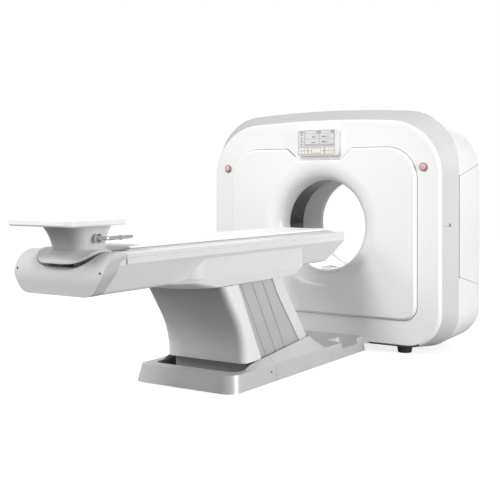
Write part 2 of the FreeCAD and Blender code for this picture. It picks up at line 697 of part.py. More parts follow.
def front_face_panel():
    """Proud panel whose bell mouth runs back to the scan window."""
    body = new_body("front_face_panel", z=d.bore_height)
    below = -d.bore_height

    def shifted(corners):
        return [(c[0], c[1] + below) + tuple(c[2:]) for c in corners]

    rim_depth = d.cover_edge_y - d.panel_front_y
    pad(body, outline(new_sketch(body, "XZ", d.panel_front_y), shifted(panel_outline())), rim_depth, 1)
    chamfer(body, d.panel_edge_round,
            lambda b: near(b.YMin, d.panel_front_y) and near(b.YMax, d.panel_front_y))
    # the inside steps in behind the bevelled edge
    for inset, length in ((d.cover_wall, rim_depth - d.panel_edge_round),
                          (d.panel_edge_round, rim_depth - d.cover_wall)):
        inside = outline(new_sketch(body, "XZ", d.cover_edge_y), shifted(panel_outline(-inset)))
        pocket(body, inside, length, -1)
    # flange behind the front cover's wall, which closes the visible joint
    flange = new_sketch(body, "XZ", d.cover_front_y + d.cover_wall + d.near_clearance)
    outline(flange, shifted(panel_outline(d.panel_flange)))
    outline(flange, shifted(panel_outline(-d.cover_wall / 2)))
    pad(body, flange, d.cover_wall, 1)
    mouth = d.bore_front_radius
    back = d.bore_front_y
    skin = d.funnel_wall
    bell = new_sketch(body, "YZ")
    outline(bell, [(d.panel_front_y, mouth + d.bell_radius + skin), (d.panel_front_y, mouth, d.bell_radius),
                   (back, mouth), (back, mouth + skin),
                   (d.panel_front_y + d.bell_radius / 2, mouth + skin * 4),
                   (d.panel_front_y + skin, mouth + d.bell_radius + skin)])
    hole = ring(new_sketch(body, "XZ", d.panel_front_y - skin), 0, 0, mouth + d.bell_radius)
    pocket(body, hole, rim_depth, 1)
    revolve(body, bell, "Y")


def lower_front_panel():
    body = new_body("lower_front_panel")
    plate = outline(new_sketch(body, "XZ", d.cover_front_y), lower_panel_outline())
    pad(body, plate, d.cover_wall, 1)
    # two stiffening ribs behind the panel
    ribs = new_sketch(body, "XZ", d.cover_front_y + d.cover_wall)
    for side in (-1, 1):
        middle = d.skirt_top_half / 2 * side
        rectangle(ribs, middle - d.cover_wall / 2, middle + d.cover_wall / 2,
                  d.front_bottom + d.cover_wall, d.panel_bottom - d.cover_wall * 4)
    pad(body, ribs, d.cover_wall * 3, 1)


def scan_window_ring():
    body = new_body("scan_window_ring", z=d.bore_height)
    front = d.bore_front_y + d.near_clearance
    wall = ring(new_sketch(body, "XZ", front), 0, 0,
                d.bore_middle_radius + d.window_wall, d.bore_middle_radius)
    pad(body, wall, d.bore_middle_y - front, 1)


def side_band():
    """Closed silver band that flares from the front cover to the rear cover."""
    body = new_body("side_band")
    loft(body, [outline(new_sketch(body, "XZ", d.cover_edge_y), front_outline()),
                outline(new_sketch(body, "XZ", d.band_rear_y), band_outline())])
    loft(body, [outline(new_sketch(body, "XZ", d.cover_edge_y), front_outline(d.cover_wall)),
                outline(new_sketch(body, "XZ", d.band_rear_y), band_outline(d.cover_wall))],
         kind="SubtractiveLoft")
    holes = new_sketch(body, "XY", d.band_bottom - d.cover_wall)
    for side in (-1, 1):
        ring(holes, d.foot_x * side, d.foot_front_y, d.foot_radius + d.near_clearance)
    pocket(body, holes, d.cover_wall * 5, 1)
    locks = ring(new_sketch(body, "YZ"), 0, d.lock_height, d.lock_radius + d.near_clearance)
    pocket(body, locks, d.band_half * 3, 0)


def side_panel_opening():
    """Opening for the side panel in Y and Z: a straight front edge and two slanting seams."""
    front = d.band_rear_y - d.seam_gap
    rear = d.side_rear_y + d.seam_gap
    low = d.grip_bottom - d.side_gap
    high = d.grip_top + d.side_gap
    return [(front, low), (d.grip_rear_y, low), (rear, low - d.side_slant), (rear, high + d.side_slant),
            (d.grip_rear_y, high), (front, high)]


def rear_cover():
    """Rear shell: tapering sides, the rear half of the bore and the side openings."""
    body = new_body("rear_cover")
    wall = d.cover_wall
    bevel_y = d.rear_face_y - d.rear_bevel
    loft(body, [outline(new_sketch(body, "XZ", d.band_rear_y), band_outline()),
                outline(new_sketch(body, "XZ", bevel_y), rear_outline()),
                outline(new_sketch(body, "XZ", d.rear_face_y), rear_outline(d.rear_bevel))])
    loft(body, [outline(new_sketch(body, "XZ", d.band_rear_y), band_outline(wall)),
                outline(new_sketch(body, "XZ", bevel_y - wall / 2), rear_outline(wall)),
                outline(new_sketch(body, "XZ", d.rear_face_y - wall),
                        rear_outline(d.rear_bevel + wall / 2))],
         kind="SubtractiveLoft")
    tube = ring(new_sketch(body, "XZ", d.bore_middle_y + d.near_clearance), 0, d.bore_height,
                d.bore_rear_radius + d.funnel_wall)
    pad(body, tube, d.rear_face_y - d.bore_middle_y - d.near_clearance, 1)
    bore = ring(new_sketch(body, "XZ", d.bore_middle_y), 0, d.bore_height, d.bore_rear_radius)
    pocket(body, bore, d.rear_face_y - d.bore_middle_y, 1)
    rim = d.bore_rear_radius.value * 2
    chamfer(body, d.bore_rim, lambda b: near(b.YMin, d.rear_face_y) and near(b.XLength, rim))
    seams = outline(new_sketch(body, "YZ"), side_panel_opening())
    pocket(body, seams, d.band_half * 3, 0)
    holes = new_sketch(body, "XY", d.rear_bottom - d.cover_wall)
    for side in (-1, 1):
        ring(holes, d.foot_x * side, d.foot_rear_y, d.foot_radius + d.near_clearance)
    pocket(body, holes, d.cover_wall * 5, 1)


def rear_side_panel(side):
    """Side panel flush with the rear cover; its front edge dips into a grip channel."""
    body = new_body("rear_side_panel_right" if side > 0 else "rear_side_panel_left")
    taper = (d.band_half - d.rear_half) / (d.rear_face_y - d.rear_bevel - d.band_rear_y)
    wall = d.cover_wall
    front = d.band_rear_y
    rear = d.side_rear_y
    lip = d.grip_rear_y

    def outer(y):
        return (d.band_half - taper * (y - front)) * side

    floor = (d.band_half - d.grip_depth) * side
    skin = new_sketch(body, "XY", d.grip_bottom - d.side_slant)
    outline(skin, [(floor, front), (floor, lip - wall, wall), (outer(lip), lip, wall), (outer(rear), rear),
                   (outer(rear) - wall * side, rear), (outer(lip) - wall * side, lip + wall),
                   (floor - wall * side, lip), (floor - wall * side, front)])
    pad(body, skin, d.grip_top - d.grip_bottom + d.side_slant * 2, 1)
    # floor of the channel curves out to the surface at both ends
    ends = new_sketch(body, "XZ", front)
    brim = outer(lip)
    for end, inwards in ((d.grip_bottom, 1), (d.grip_top, -1)):
        outline(ends, [(floor - wall * side, end), (brim, end), (brim, end + wall / 2 * inwards),
                       (floor, end + wall / 2 * inwards, d.grip_depth * 0.8),
                       (floor, end + d.grip_depth * 1.2 * inwards),
                       (floor - wall * side, end + d.grip_depth * 1.2 * inwards)])
    pad(body, ends, lip - front, 1)
    seams = new_sketch(body, "YZ")
    for end, outwards in ((d.grip_bottom, -1), (d.grip_top, 1)):
        far = end + d.side_slant * 3 * outwards
        outline(seams, [(front - wall, end), (lip, end), (rear, end + d.side_slant * outwards),
                        (rear + wall, end + d.side_slant * outwards), (rear + wall, far),
                        (front - wall, far)])
    pocket(body, seams, d.band_half * 3, 0)


# ----------------------------------------------------------------------------
# Console, emergency stops and cover locks
# ----------------------------------------------------------------------------
def console_housing():
    body = new_body("console_housing")
    front = d.cover_front_y - d.console_depth
    shape = new_sketch(body, "XZ", d.cover_front_y)
    outline(shape, [(-d.console_half, d.console_bottom, d.console_round),
                    (d.console_half, d.console_bottom, d.console_round * 2.4),
                    (d.console_half, d.console_top, d.console_round),
                    (-d.console_half, d.console_top, d.console_round)])
    pad(body, shape, d.console_depth, -1)
    chamfer(body, d.console_round / 3, lambda b: near(b.YMin, front) and near(b.YMax, front))
    seats = new_sketch(body, "XZ", front)
    rectangle(seats, d.screen_left, d.screen_right, d.screen_bottom, d.console_top - d.screen_depth)
    pocket(body, seats, d.screen_depth, 1)
    keys = new_sketch(body, "XZ", front)
    rectangle(keys, d.screen_left, d.screen_right, d.keypad_bottom, d.screen_bottom - d.screen_depth)
    pocket(body, keys, d.screen_depth, 1)


def display_screen():
    body = new_body("display_screen")
    back = d.cover_front_y - d.console_depth + d.screen_depth
    gap = d.near_clearance
    glass = new_sketch(body, "XZ", back)
    rectangle(glass, d.screen_left + gap, d.screen_right - gap, d.screen_bottom + gap,
              d.console_top - d.screen_depth - gap)
    pad(body, glass, d.screen_depth * 1.25, -1)


def keypad():
    """One moulded membrane with two rows of raised, fixed keys."""
    body = new_body("keypad")
    back = d.cover_front_y - d.console_depth + d.screen_depth
    gap = d.near_clearance
    left = d.screen_left + gap
    right = d.screen_right - gap
    low = d.keypad_bottom + gap
    high = d.screen_bottom - d.screen_depth - gap
    pad(body, rectangle(new_sketch(body, "XZ", back), left, right, low, high), d.screen_depth, -1)
    pitch = (right - left) / d.key_columns
    row_height = (high - low) / 2
    margin = d.key_rise * 2.5
    keys = new_sketch(body, "XZ", back - d.screen_depth)
    for line in (0, 1):
        rectangle(keys, left + margin, left + pitch - margin,
                  low + row_height * line + margin, low + row_height * (line + 1) - margin)
    raised = pad(body, keys, d.key_rise, -1)
    row(body, raised, "X", pitch * (d.key_columns - 1), d.key_columns)


def estop_collars():
    """Two collars round the emergency stops, one on each side of the front cover."""
    collars = []
    for side, name in ((-1, "left"), (1, "right")):
        outer = doc.addObject("Part::Cylinder", "estop_collar_body_" + name)
        bind(outer, "Radius", d.estop_collar)
        bind(outer, "Height", d.estop_radius / 2)
        inner = doc.addObject("Part::Cylinder", "estop_collar_bore_" + name)
        bind(inner, "Radius", d.estop_radius + d.near_clearance)
        bind(inner, "Height", d.estop_radius)
        collar = doc.addObject("Part::Cut", "estop_collar_" + name)
        collar.Base = outer
        collar.Tool = inner
        collar.Placement.Rotation = FreeCAD.Rotation(V(1, 0, 0), 90)
        bind(collar, "Placement.Base.x", d.estop_x * side)
        bind(collar, "Placement.Base.y", d.cover_front_y)
        bind(collar, "Placement.Base.z", d.estop_height)
        collars.append(collar)
    pair = doc.addObject("Part::Compound", "estop_collars")
    pair.Label = "estop_collars"
    pair.Links = collars
    place(pair)
    NODES.append(pair)


def estop_button(side):
    """Mushroom cap on a stem; it is pushed towards the gantry."""
    body = new_body("estop_button_right" if side > 0 else "estop_button_left",
                    d.estop_x * side, d.cover_front_y, d.estop_height)
    cap = d.estop_radius
    under = -d.estop_travel - 6
    face = ring(new_sketch(body, "XZ", under), 0, 0, cap)
    pad(body, face, cap * 0.7, -1)
    stem = ring(new_sketch(body, "XZ", under), 0, 0, cap / 2 - d.near_clearance)
    pad(body, stem, cap * 1.1, 1)


def cover_lock(side):
    """Quarter-turn barrel in the band, with a slot for its key."""
    middle = (d.front_half + d.band_half) / 2 - 4
    body = new_body("cover_lock_right" if side > 0 else "cover_lock_left",
                    middle * side, 0, d.lock_height)
    length = d.lock_radius * 2
    barrel = ring(new_sketch(body, "YZ"), 0, 0, d.lock_radius)
    pad(body, barrel, length, -side)
    slot = new_sketch(body, "YZ", d.lock_radius / -6 * side)
    rectangle(slot, d.lock_radius / -8, d.lock_radius / 8, d.lock_radius / -2, d.lock_radius / 2)
    pocket(body, slot, length, side)
    cam = new_sketch(body, "YZ", -length * side)
    rectangle(cam, d.lock_radius / -2, d.lock_radius / 2, d.lock_radius * -2, d.lock_radius / 2)
    pad(body, cam, d.lock_radius / 4, -side)


# ----------------------------------------------------------------------------
# Gantry frame, bearing and drive
# ----------------------------------------------------------------------------
def gantry_frame():
    """Floor beams, cross beam and the upright plate that carries the bearing."""
    body = new_body("gantry_frame")
    upright = new_sketch(body, "XZ", d.plate_y)
    base = d.foot_height
    outline(upright, mirrored([
        (d.plate_half, base + d.beam_height / 2), (d.plate_half, base + d.beam_height * 4),
        (d.plate_half - d.beam_width, d.bore_height - d.beam_width * 1.5),
        (d.plate_hole * 1.2, d.bore_height + d.plate_hole + d.beam_height)]))
    ring(upright, 0, d.bore_height, d.plate_hole)
    ring(upright, d.motor_x, d.bore_height + d.motor_z, d.shaft_radius * 1.4)
    pad(body, upright, d.plate_thickness, 1)
    beams = new_sketch(body, "XY", base)
    for side in (-1, 1):
        rectangle(beams, d.foot_x * side - d.beam_width / 2, d.foot_x * side + d.beam_width / 2,
                  d.foot_front_y - d.foot_radius, d.foot_rear_y + d.foot_radius)
    pad(body, beams, d.beam_height, 1)
    cross = new_sketch(body, "XY", base)
    rectangle(cross, -d.foot_x, d.foot_x, d.plate_y, d.plate_y + d.beam_width)
    pad(body, cross, d.beam_height, 1)
    gusset = new_sketch(body, "YZ", d.foot_x - d.plate_thickness / 2)
    back = d.plate_y + d.plate_thickness
    outline(gusset, [(back, base + d.beam_height), (d.foot_rear_y, base + d.beam_height),
                     (back, d.bore_height)])
    web = pad(body, gusset, d.plate_thickness, 1)
    mirror(body, [web])


def levelling_feet():
    """Four tapered feet, each with a spigot in the floor beams."""
    feet = []
    for side, name in ((-1, "left"), (1, "right")):
        for y, end in ((d.foot_front_y, "front"), (d.foot_rear_y, "rear")):
            foot = doc.addObject("Part::Cone", "foot_%s_%s" % (end, name))
            bind(foot, "Radius1", d.foot_base_radius)
            bind(foot, "Radius2", d.foot_radius)
            bind(foot, "Height", d.foot_height)
            bind(foot, "Placement.Base.x", d.foot_x * side)
            bind(foot, "Placement.Base.y", y)
            feet.append(foot)
    group = doc.addObject("Part::Compound", "levelling_feet")
    group.Label = "levelling_feet"
    group.Links = feet
    place(group)
    NODES.append(group)


def flat_ring(label, inner, outer, front, length):
    """Ring about the bore axis, from its front face backwards."""
    body = new_body(label, z=d.bore_height)
    face = ring(new_sketch(body, "XZ", front), 0, 0, outer, inner)
    pad(body, face, length, 1)
    return body


def bearing():
    """Slewing bearing: the outer race is bolted to the upright plate, the inner to the rotor."""
    race_front = d.rotor_front_y + d.rotor_thickness
    flat_ring("bearing_outer_race", d.race_radius, d.race_radius + d.race_width,
              race_front + 5, d.plate_y - race_front - 5)
    flat_ring("bearing_inner_race", d.race_radius - d.race_width, d.race_radius - d.race_clearance,
              race_front, d.plate_y - race_front - 2)


def drive():
    """Motor behind the upright plate, its pulley, and the flat belt round the rotor."""
    z = d.bore_height + d.motor_z
    plate_back = d.plate_y + d.plate_thickness
    motor = new_body("drive_motor", d.motor_x, 0, z)
    pad(motor, ring(new_sketch(motor, "XZ", plate_back), 0, 0, d.motor_radius), d.motor_length, 1)
    bore = ring(new_sketch(motor, "XZ", plate_back), 0, 0, d.shaft_radius + d.fit_clearance)
    pocket(motor, bore, d.motor_length / 5, 1)
    flange = new_sketch(motor, "XZ", plate_back)
    rectangle(flange, -d.motor_radius, d.motor_radius, -d.motor_radius, d.motor_radius, d.shaft_radius)
    ring(flange, 0, 0, d.motor_radius * 0.6)
    pad(motor, flange, d.shaft_radius, 1)

    pulley = new_body("motor_pulley", d.motor_x, 0, z)
    front = d.rotor_front_y
    rim = d.pulley_radius
    lip = d.belt_thickness
    profile = new_sketch(pulley, "YZ")
    outline(profile, [(front - lip, 0), (front - lip, rim + lip), (front, rim + lip), (front, rim),
                      (front + d.rotor_thickness, rim), (front + d.rotor_thickness, d.shaft_radius),
                      (plate_back + d.motor_length / 6, d.shaft_radius),
                      (plate_back + d.motor_length / 6, 0)])
    revolve(pulley, profile, "Y")
    drive_belt()


def belt_loop(big, small, distance):
    """Closed wire of an open belt round two circles; the small one lies on +X."""
    lean = math.asin((big - small) / distance)
    top_big = V(big * math.sin(lean), 0, big * math.cos(lean))
    top_small = V(distance + small * math.sin(lean), 0, small * math.cos(lean))
    low_big = V(top_big.x, 0, -top_big.z)
    low_small = V(top_small.x, 0, -top_small.z)
    return Part.Wire([
        Part.Arc(low_big, V(-big, 0, 0), top_big).toShape(),
        Part.LineSegment(top_big, top_small).toShape(),
        Part.Arc(top_small, V(distance + small, 0, 0), low_small).toShape(),
        Part.LineSegment(low_small, low_big).toShape()])


def drive_belt():
    """Flat belt: the strip between two tangent loops, turned towards the motor."""
    across = d.motor_x.value
    down = d.motor_z.value
    distance = math.hypot(across, down)
    gap = d.near_clearance.value
    outer_gap = gap + d.belt_thickness.value
    big = d.rotor_radius.value
    small = d.pulley_radius.value
    width = d.rotor_thickness.value - 4 * gap
    outside = Part.Face(belt_loop(big + outer_gap, small + outer_gap, distance))
    inside = Part.Face(belt_loop(big + gap, small + gap, distance))
    belt = doc.addObject("Part::Feature", "drive_belt")
    belt.Label = "drive_belt"
    belt.Shape = outside.cut(inside).extrude(V(0, width, 0))
    turn = FreeCAD.Rotation(V(0, 1, 0), math.degrees(math.atan2(-down, across)))
    belt.Placement = FreeCAD.Placement(
        V(0, centre_shift.value + d.rotor_front_y.value + 2 * gap, d.bore_height.value), turn)
    NODES.append(belt)


def brush_block():
    """Carrier on the upright plate whose brushes face the slip ring."""
    body = new_body("brush_block", z=d.bore_height)
    ring_back = d.rotor_front_y + d.rotor_thickness + d.slip_thickness
    front = ring_back + 1
    middle = (d.slip_inner + d.slip_outer) / 2
    half = (d.slip_outer - d.slip_inner) / 2
    shape = new_sketch(body, "XZ", front + 8)
    rectangle(shape, -half, half, -middle - half, -middle + half, 6)
    pad(body, shape, d.plate_y - front - 8, 1)
    brush = new_sketch(body, "XZ", front)
    rectangle(brush, -half + 10, -half + 26, -middle - half + 8, -middle + half - 8)
    row(body, pad(body, brush, 8, 1), "X", half * 2 - 36, 6)


# ----------------------------------------------------------------------------
# X-ray assembly that turns about the bore
# ----------------------------------------------------------------------------
def rotor_disc():
    flat_ring("rotor_disc", d.race_radius - d.race_width, d.rotor_radius,
              d.rotor_front_y, d.rotor_thickness)


def slip_ring():
    flat_ring("slip_ring", d.slip_inner, d.slip_outer,
              d.rotor_front_y + d.rotor_thickness, d.slip_thickness)


def xray_tube():
    """Cylindrical housing with a collar and a foot on the rotor disc."""
    body = new_body("xray_tube", z=d.bore_height)
    front = d.tube_front_y
    length = d.rotor_front_y - front
    pad(body, ring(new_sketch(body, "XZ", front), 0, d.tube_offset, d.tube_radius), length, 1)
    neck = ring(new_sketch(body, "XZ", front), 0, d.tube_offset, d.tube_radius * 0.6)
    pad(body, neck, d.tube_radius * 0.6, -1)
    foot = new_sketch(body, "XZ", d.rotor_front_y - 30)
    rectangle(foot, -d.tube_radius * 1.4, d.tube_radius * 1.4,
              d.tube_offset - d.tube_radius, d.tube_offset + d.tube_radius * 0.5, 12)
    pad(body, foot, 30, 1)


def collimator():
    """Beam limiter between the tube and the scan window, with its slit."""
    body = new_body("collimator", z=d.bore_height)
    high = d.tube_offset - d.tube_radius - d.near_clearance
    low = d.bore_middle_radius + d.window_wall * 4
    middle = (d.bore_front_y + d.bore_middle_y) / 2
    wedge = new_sketch(body, "XZ", middle - 55)
    outline(wedge, [(-150, low + 40), (150, low + 40), (60, high), (-60, high)])
    pad(body, wedge, d.rotor_front_y - middle + 55, 1)
    slit = new_sketch(body, "XY", high)
    rectangle(slit, -40, 40, middle - 10, middle + 10)
    pocket(body, slit, d.tube_offset, -1)


def detector_arc():
    """Curved detector under the bore, with its mounting web on the rotor disc."""
    body = new_body("detector_arc", z=d.bore_height)
    angle = math.radians(d.detector_half_angle.value)
    middle = (d.bore_front_y + d.bore_middle_y) / 2
    sketch = new_sketch(body, "XZ", middle - 60)
    ends = []
    for radius in (d.detector_inner, d.detector_outer):
        r = radius.value
        arc = sketch.addGeometry(Part.ArcOfCircle(
            Part.Circle(V(0, 0, 0), V(0, 0, 1), r), -math.pi / 2 - angle, -math.pi / 2 + angle))
        sketch.addConstraint(Sketcher.Constraint("Coincident", arc, 3, -1, 1))
        fix_radius(sketch, arc, radius)
        ends.append(arc)
    for end, side in ((1, -1), (2, 1)):
        inner, outer = (V(side * r * math.sin(angle), -r * math.cos(angle), 0)
                        for r in (d.detector_inner.value, d.detector_outer.value))
        line = sketch.addGeometry(Part.LineSegment(inner, outer))
        sketch.addConstraint(Sketcher.Constraint("Coincident", ends[0], end, line, 1))
        sketch.addConstraint(Sketcher.Constraint("Coincident", ends[1], end, line, 2))
        sketch.addConstraint(Sketcher.Constraint("PointOnObject", -1, 1, line))
        index = sketch.addConstraint(Sketcher.Constraint(
            "DistanceX", -1, 1, line, 1, side * d.detector_inner.value * math.sin(angle)))
        sketch.setExpression("Constraints[%d]" % index,
                             "%d * Sizes.detector_inner * sin(Sizes.detector_half_angle)" % side)
    pad(body, sketch, d.rotor_front_y - middle + 60, 1)


def rotor_box(label, middle_x, middle_z, width, height, depth):
    """Rounded case standing on the rotor disc's front face."""
    body = new_body(label, z=d.bore_height)
    shape = rectangle(new_sketch(body, "XZ", d.rotor_front_y - depth),
                      middle_x - width / 2, middle_x + width / 2,
                      middle_z - height / 2, middle_z + height / 2, d.case_round)
    pad(body, shape, depth, 1)
    return body


def rotor_cases():
    rim = d.rotor_radius - d.case_inset
    rotor_box("high_voltage_generator", d.generator_width / 2 - rim, 0,
              d.generator_width, d.generator_height, d.case_depth)
    middle = rim - d.cooler_width / 2
    cooler = rotor_box("heat_exchanger", middle, 0, d.cooler_width, d.cooler_height, d.case_depth)
    slot = new_sketch(cooler, "XZ", d.rotor_front_y - d.case_depth)
    pitch = d.cooler_width / (d.cooler_slots + 1)
    first = middle - pitch * (d.cooler_slots - 1) / 2
    rectangle(slot, first - d.cooler_slot / 2, first + d.cooler_slot / 2,
              d.cooler_slot * 2 - d.cooler_height / 2, d.cooler_height / 2 - d.cooler_slot * 2)
    cut = pocket(cooler, slot, d.case_depth * 0.4, 1)
    row(cooler, cut, "X", pitch * (d.cooler_slots - 1), d.cooler_slots)
    rotor_box("data_power_box", d.data_box_x, d.data_box_z, d.data_box_side, d.data_box_side, d.case_depth)


# ----------------------------------------------------------------------------
# Table base
# ----------------------------------------------------------------------------
def plinth_foot_outline(grow_z):
    """Foot section of the plinth in X and Y; grow_z is 0 at the floor, 1 at the top."""
    half = d.plinth_half + (d.plinth_top_half - d.plinth_half) * grow_z
    front = d.plinth_foot_y + d.plinth_foot_slope * grow_z
    return half, front


def plinth_foot_loft(body, inset, low, high, kind):
    sections = []
    for grow, z in ((0, low), (1, high)):
        half, front = plinth_foot_outline(grow)
        sketch = new_sketch(body, "XY", z)
        outline(sketch, [(-half + inset, d.foot_seam_y),
                         (-half + inset, front + inset, d.plinth_round - inset),
                         (half - inset, front + inset, d.plinth_round - inset),
                         (half - inset, d.foot_seam_y)])
        sections.append(sketch)
    return loft(body, sections, kind)


def collar_crest(y):
    """Height of the collar's crest, a straight line from the foot end to the rear."""
    slope = (d.collar_rear_z - d.collar_front_z) / (d.collar_rear_y - d.collar_front_y)
    return d.collar_front_z + slope * (y - d.collar_front_y)


def collar_side(body, inner, outer):
    """Slope between the pedestal's side and the plinth's edge, on both sides."""
    inside = outline(new_sketch(body, "YZ", d.well_half), inner)
    outside = outline(new_sketch(body, "YZ", d.plinth_top_half), outer)
    mirror(body, [loft(body, [inside, outside])])


def plinth_foot_cover():
    """Foot section: rounded tub end with the well and the start of the collar."""
    body = new_body("plinth_foot_cover")
    wall = d.plinth_wall
    top = d.plinth_height
    plinth_foot_loft(body, 0, 0, top, "AdditiveLoft")
    plinth_foot_loft(body, wall, 0, top - wall, "SubtractiveLoft")
    under = top - wall
    seam = d.foot_seam_y
    collar_side(body,
                [(d.collar_start_y, under), (d.collar_front_y, d.collar_front_z),
                 (seam, collar_crest(seam)), (seam, under)],
                [(d.collar_start_y, under), (d.collar_front_y, top), (seam, top), (seam, under)])
    well = new_sketch(body, "XY", 0)
    outline(well, [(-d.well_half, seam + wall), (-d.well_half, d.well_foot_y, d.plinth_round - wall * 4),
                   (d.well_half, d.well_foot_y, d.plinth_round - wall * 4), (d.well_half, seam + wall)])
    pocket(body, well, d.collar_rear_z * 2, 1)


def plinth_box(body, front, rear):
    """Open-bottomed stretch of the plinth with its slightly sloping sides."""
    wall = d.plinth_wall
    top = d.plinth_height
    section = new_sketch(body, "XZ", front)
    outline(section, mirrored([(d.plinth_half - wall, 0), (d.plinth_half, 0), (d.plinth_top_half, top)])
            [:3] + [(-d.plinth_top_half, top), (-d.plinth_half, 0), (-d.plinth_half + wall, 0),
                    (-d.plinth_top_half + wall, top - wall), (d.plinth_top_half - wall, top - wall)])
    pad(body, section, rear - front, 1)


def plinth_middle_cover():
    """Middle section: both sides of the collar and the ramp behind the pedestal."""
    body = new_body("plinth_middle_cover")
    wall = d.plinth_wall
    top = d.plinth_height
    under = top - wall
    front = d.foot_seam_y + d.plinth_gap
    rear = d.rear_seam_y
    plinth_box(body, front, rear)
    collar_side(body,
                [(front, under), (front, collar_crest(front)), (d.collar_rear_y, d.collar_rear_z),
                 (rear - wall * 2, top), (rear - wall * 2, under)],
                [(front, under), (front, top), (d.collar_rear_y, top), (rear - wall * 2, top),
                 (rear - wall * 2, under)])
    ramp = new_sketch(body, "YZ")
    inner_foot = d.collar_rear_y + (d.collar_rear_z - under) * 0.76
    outline(ramp, [(inner_foot, under), (rear - wall * 2, under), (rear - wall * 2, top),
                   (d.collar_rear_y, d.collar_rear_z)])
    pad(body, ramp, d.well_half * 2, 0)
    well = new_sketch(body, "YZ")
    outline(well, [(front - wall, 0), (inner_foot, 0), (inner_foot, under),
                   (d.collar_rear_y, d.collar_rear_z), (d.collar_rear_y, d.collar_rear_z + top),
                   (front - wall, d.collar_rear_z + top)])
    pocket(body, well, d.well_half * 2, 0)


def plinth_rear_cover():
    """Rear section up to the gantry, with the hand pocket in its right edge."""
    body = new_body("plinth_rear_cover")
    front = d.rear_seam_y + d.plinth_gap
    plinth_box(body, front, d.plinth_rear_y)
    floor = d.pocket_floor
    wall = d.plinth_wall
    inner = d.pocket_inner_x
    taper = 42
    block = new_sketch(body, "XY", floor - wall)
    outline(block, [(inner - wall, d.pocket_front_y - wall), (d.plinth_top_half, d.pocket_front_y - wall),
                    (d.plinth_top_half, d.pocket_rear_y + wall), (inner - wall, d.pocket_rear_y + wall)])
    pad(body, block, d.plinth_height - floor + wall, 1)
    cut = new_sketch(body, "XY", floor)
    outline(cut, [(inner, d.pocket_front_y + taper, taper), (d.plinth_half + wall, d.pocket_front_y - wall),
                  (d.plinth_half + wall, d.pocket_rear_y + wall), (inner, d.pocket_rear_y - taper, taper)])
    pocket(body, cut, d.plinth_height, 1)


def slat_pivot(index):
    """Y of a slat's lower pivot: half way along its visible foot."""
    edges = (d.slat_edge_1, d.slat_edge_2, d.slat_edge_3, d.slat_edge_4, d.slat_edge_5)
    lean = d.link_reach / d.link_rise
    drop = d.pedestal_top - d.pivot_height
    return (edges[index] + edges[index + 1]) / 2 - lean * drop


def base_frame():
    """Anchored base plate with two cheeks that hold every lower pivot."""
    body = new_body("base_frame")
    rear = d.plinth_rear_y - d.plinth_wall * 2
    plate = rectangle(new_sketch(body, "XY", 0), -d.base_half, d.base_half, d.base_foot_y, rear)
    for side in (-1, 1):
        for y in (d.anchor_front_y, d.anchor_rear_y):
            ring(plate, d.anchor_x * side, y, d.anchor_radius)
    pad(body, plate, d.base_plate, 1)
    cheek = new_sketch(body, "YZ", d.cheek_x)
    front = d.front_pivot_y - d.base_plate * 10
    back = d.rear_pivot_y + d.base_plate * 6
    outline(cheek, [(front, d.base_plate), (back, d.base_plate), (back, d.cheek_top, 40),
                    (front, d.cheek_top, 40)])
    for y in (d.front_pivot_y, d.rear_pivot_y):
        ring(cheek, y, d.pivot_height, d.shaft_pivot_radius + d.fit_clearance)
    for index in range(4):
        ring(cheek, slat_pivot(index), d.pivot_height, d.slat_rod_radius + d.fit_clearance)
    mirror(body, [pad(body, cheek, d.cheek_thickness, 1)])


def pedestal_kick_panel():
    """Fixed panel under the front cover's lower edge, on the cheeks' front ends."""
    body = new_body("pedestal_kick_panel")
    face = d.front_pivot_y - d.base_plate * 10
    half = d.pedestal_half - d.plinth_wall * 3
    shape = new_sketch(body, "XZ", face)
    outline(shape, mirrored([(half - d.plinth_wall, d.base_plate), (half, d.kick_top)]))
    pad(body, shape, d.plinth_wall, -1)


def base_shafts():
    """The two lower pivot shafts in the cheeks."""
    shafts = []
    length = (d.cheek_x + d.cheek_thickness) * 2
    for y, name in ((d.front_pivot_y, "front"), (d.rear_pivot_y, "rear")):
        shaft = doc.addObject("Part::Cylinder", "base_shaft_" + name)
        bind(shaft, "Radius", d.shaft_pivot_radius)
        bind(shaft, "Height", length)
        shaft.Placement.Rotation = FreeCAD.Rotation(V(0, 1, 0), 90)
        bind(shaft, "Placement.Base.x", -length / 2)
        bind(shaft, "Placement.Base.y", y)
        bind(shaft, "Placement.Base.z", d.pivot_height)
        shafts.append(shaft)
    pair = doc.addObject("Part::Compound", "base_shafts")
    pair.Label = "base_shafts"
    pair.Links = shafts
    place(pair)
    NODES.append(pair)


# ----------------------------------------------------------------------------
# Lift linkage
# ----------------------------------------------------------------------------
def link_point(share, offset):
    """Point of a link in Y and Z: share along it, offset square to it (+ to the rear)."""
    length = math.hypot(d.link_reach.value, d.link_rise.value)
    across_y = Size(d.link_rise.value / length,
                    "Sizes.link_rise / sqrt(Sizes.link_reach ^ 2 + Sizes.link_rise ^ 2)")
    across_z = Size(-d.link_reach.value / length,
                    "(0 - Sizes.link_reach) / sqrt(Sizes.link_reach ^ 2 + Sizes.link_rise ^ 2)")
    return (d.link_reach * share + across_y * offset, d.link_rise * share + across_z * offset)


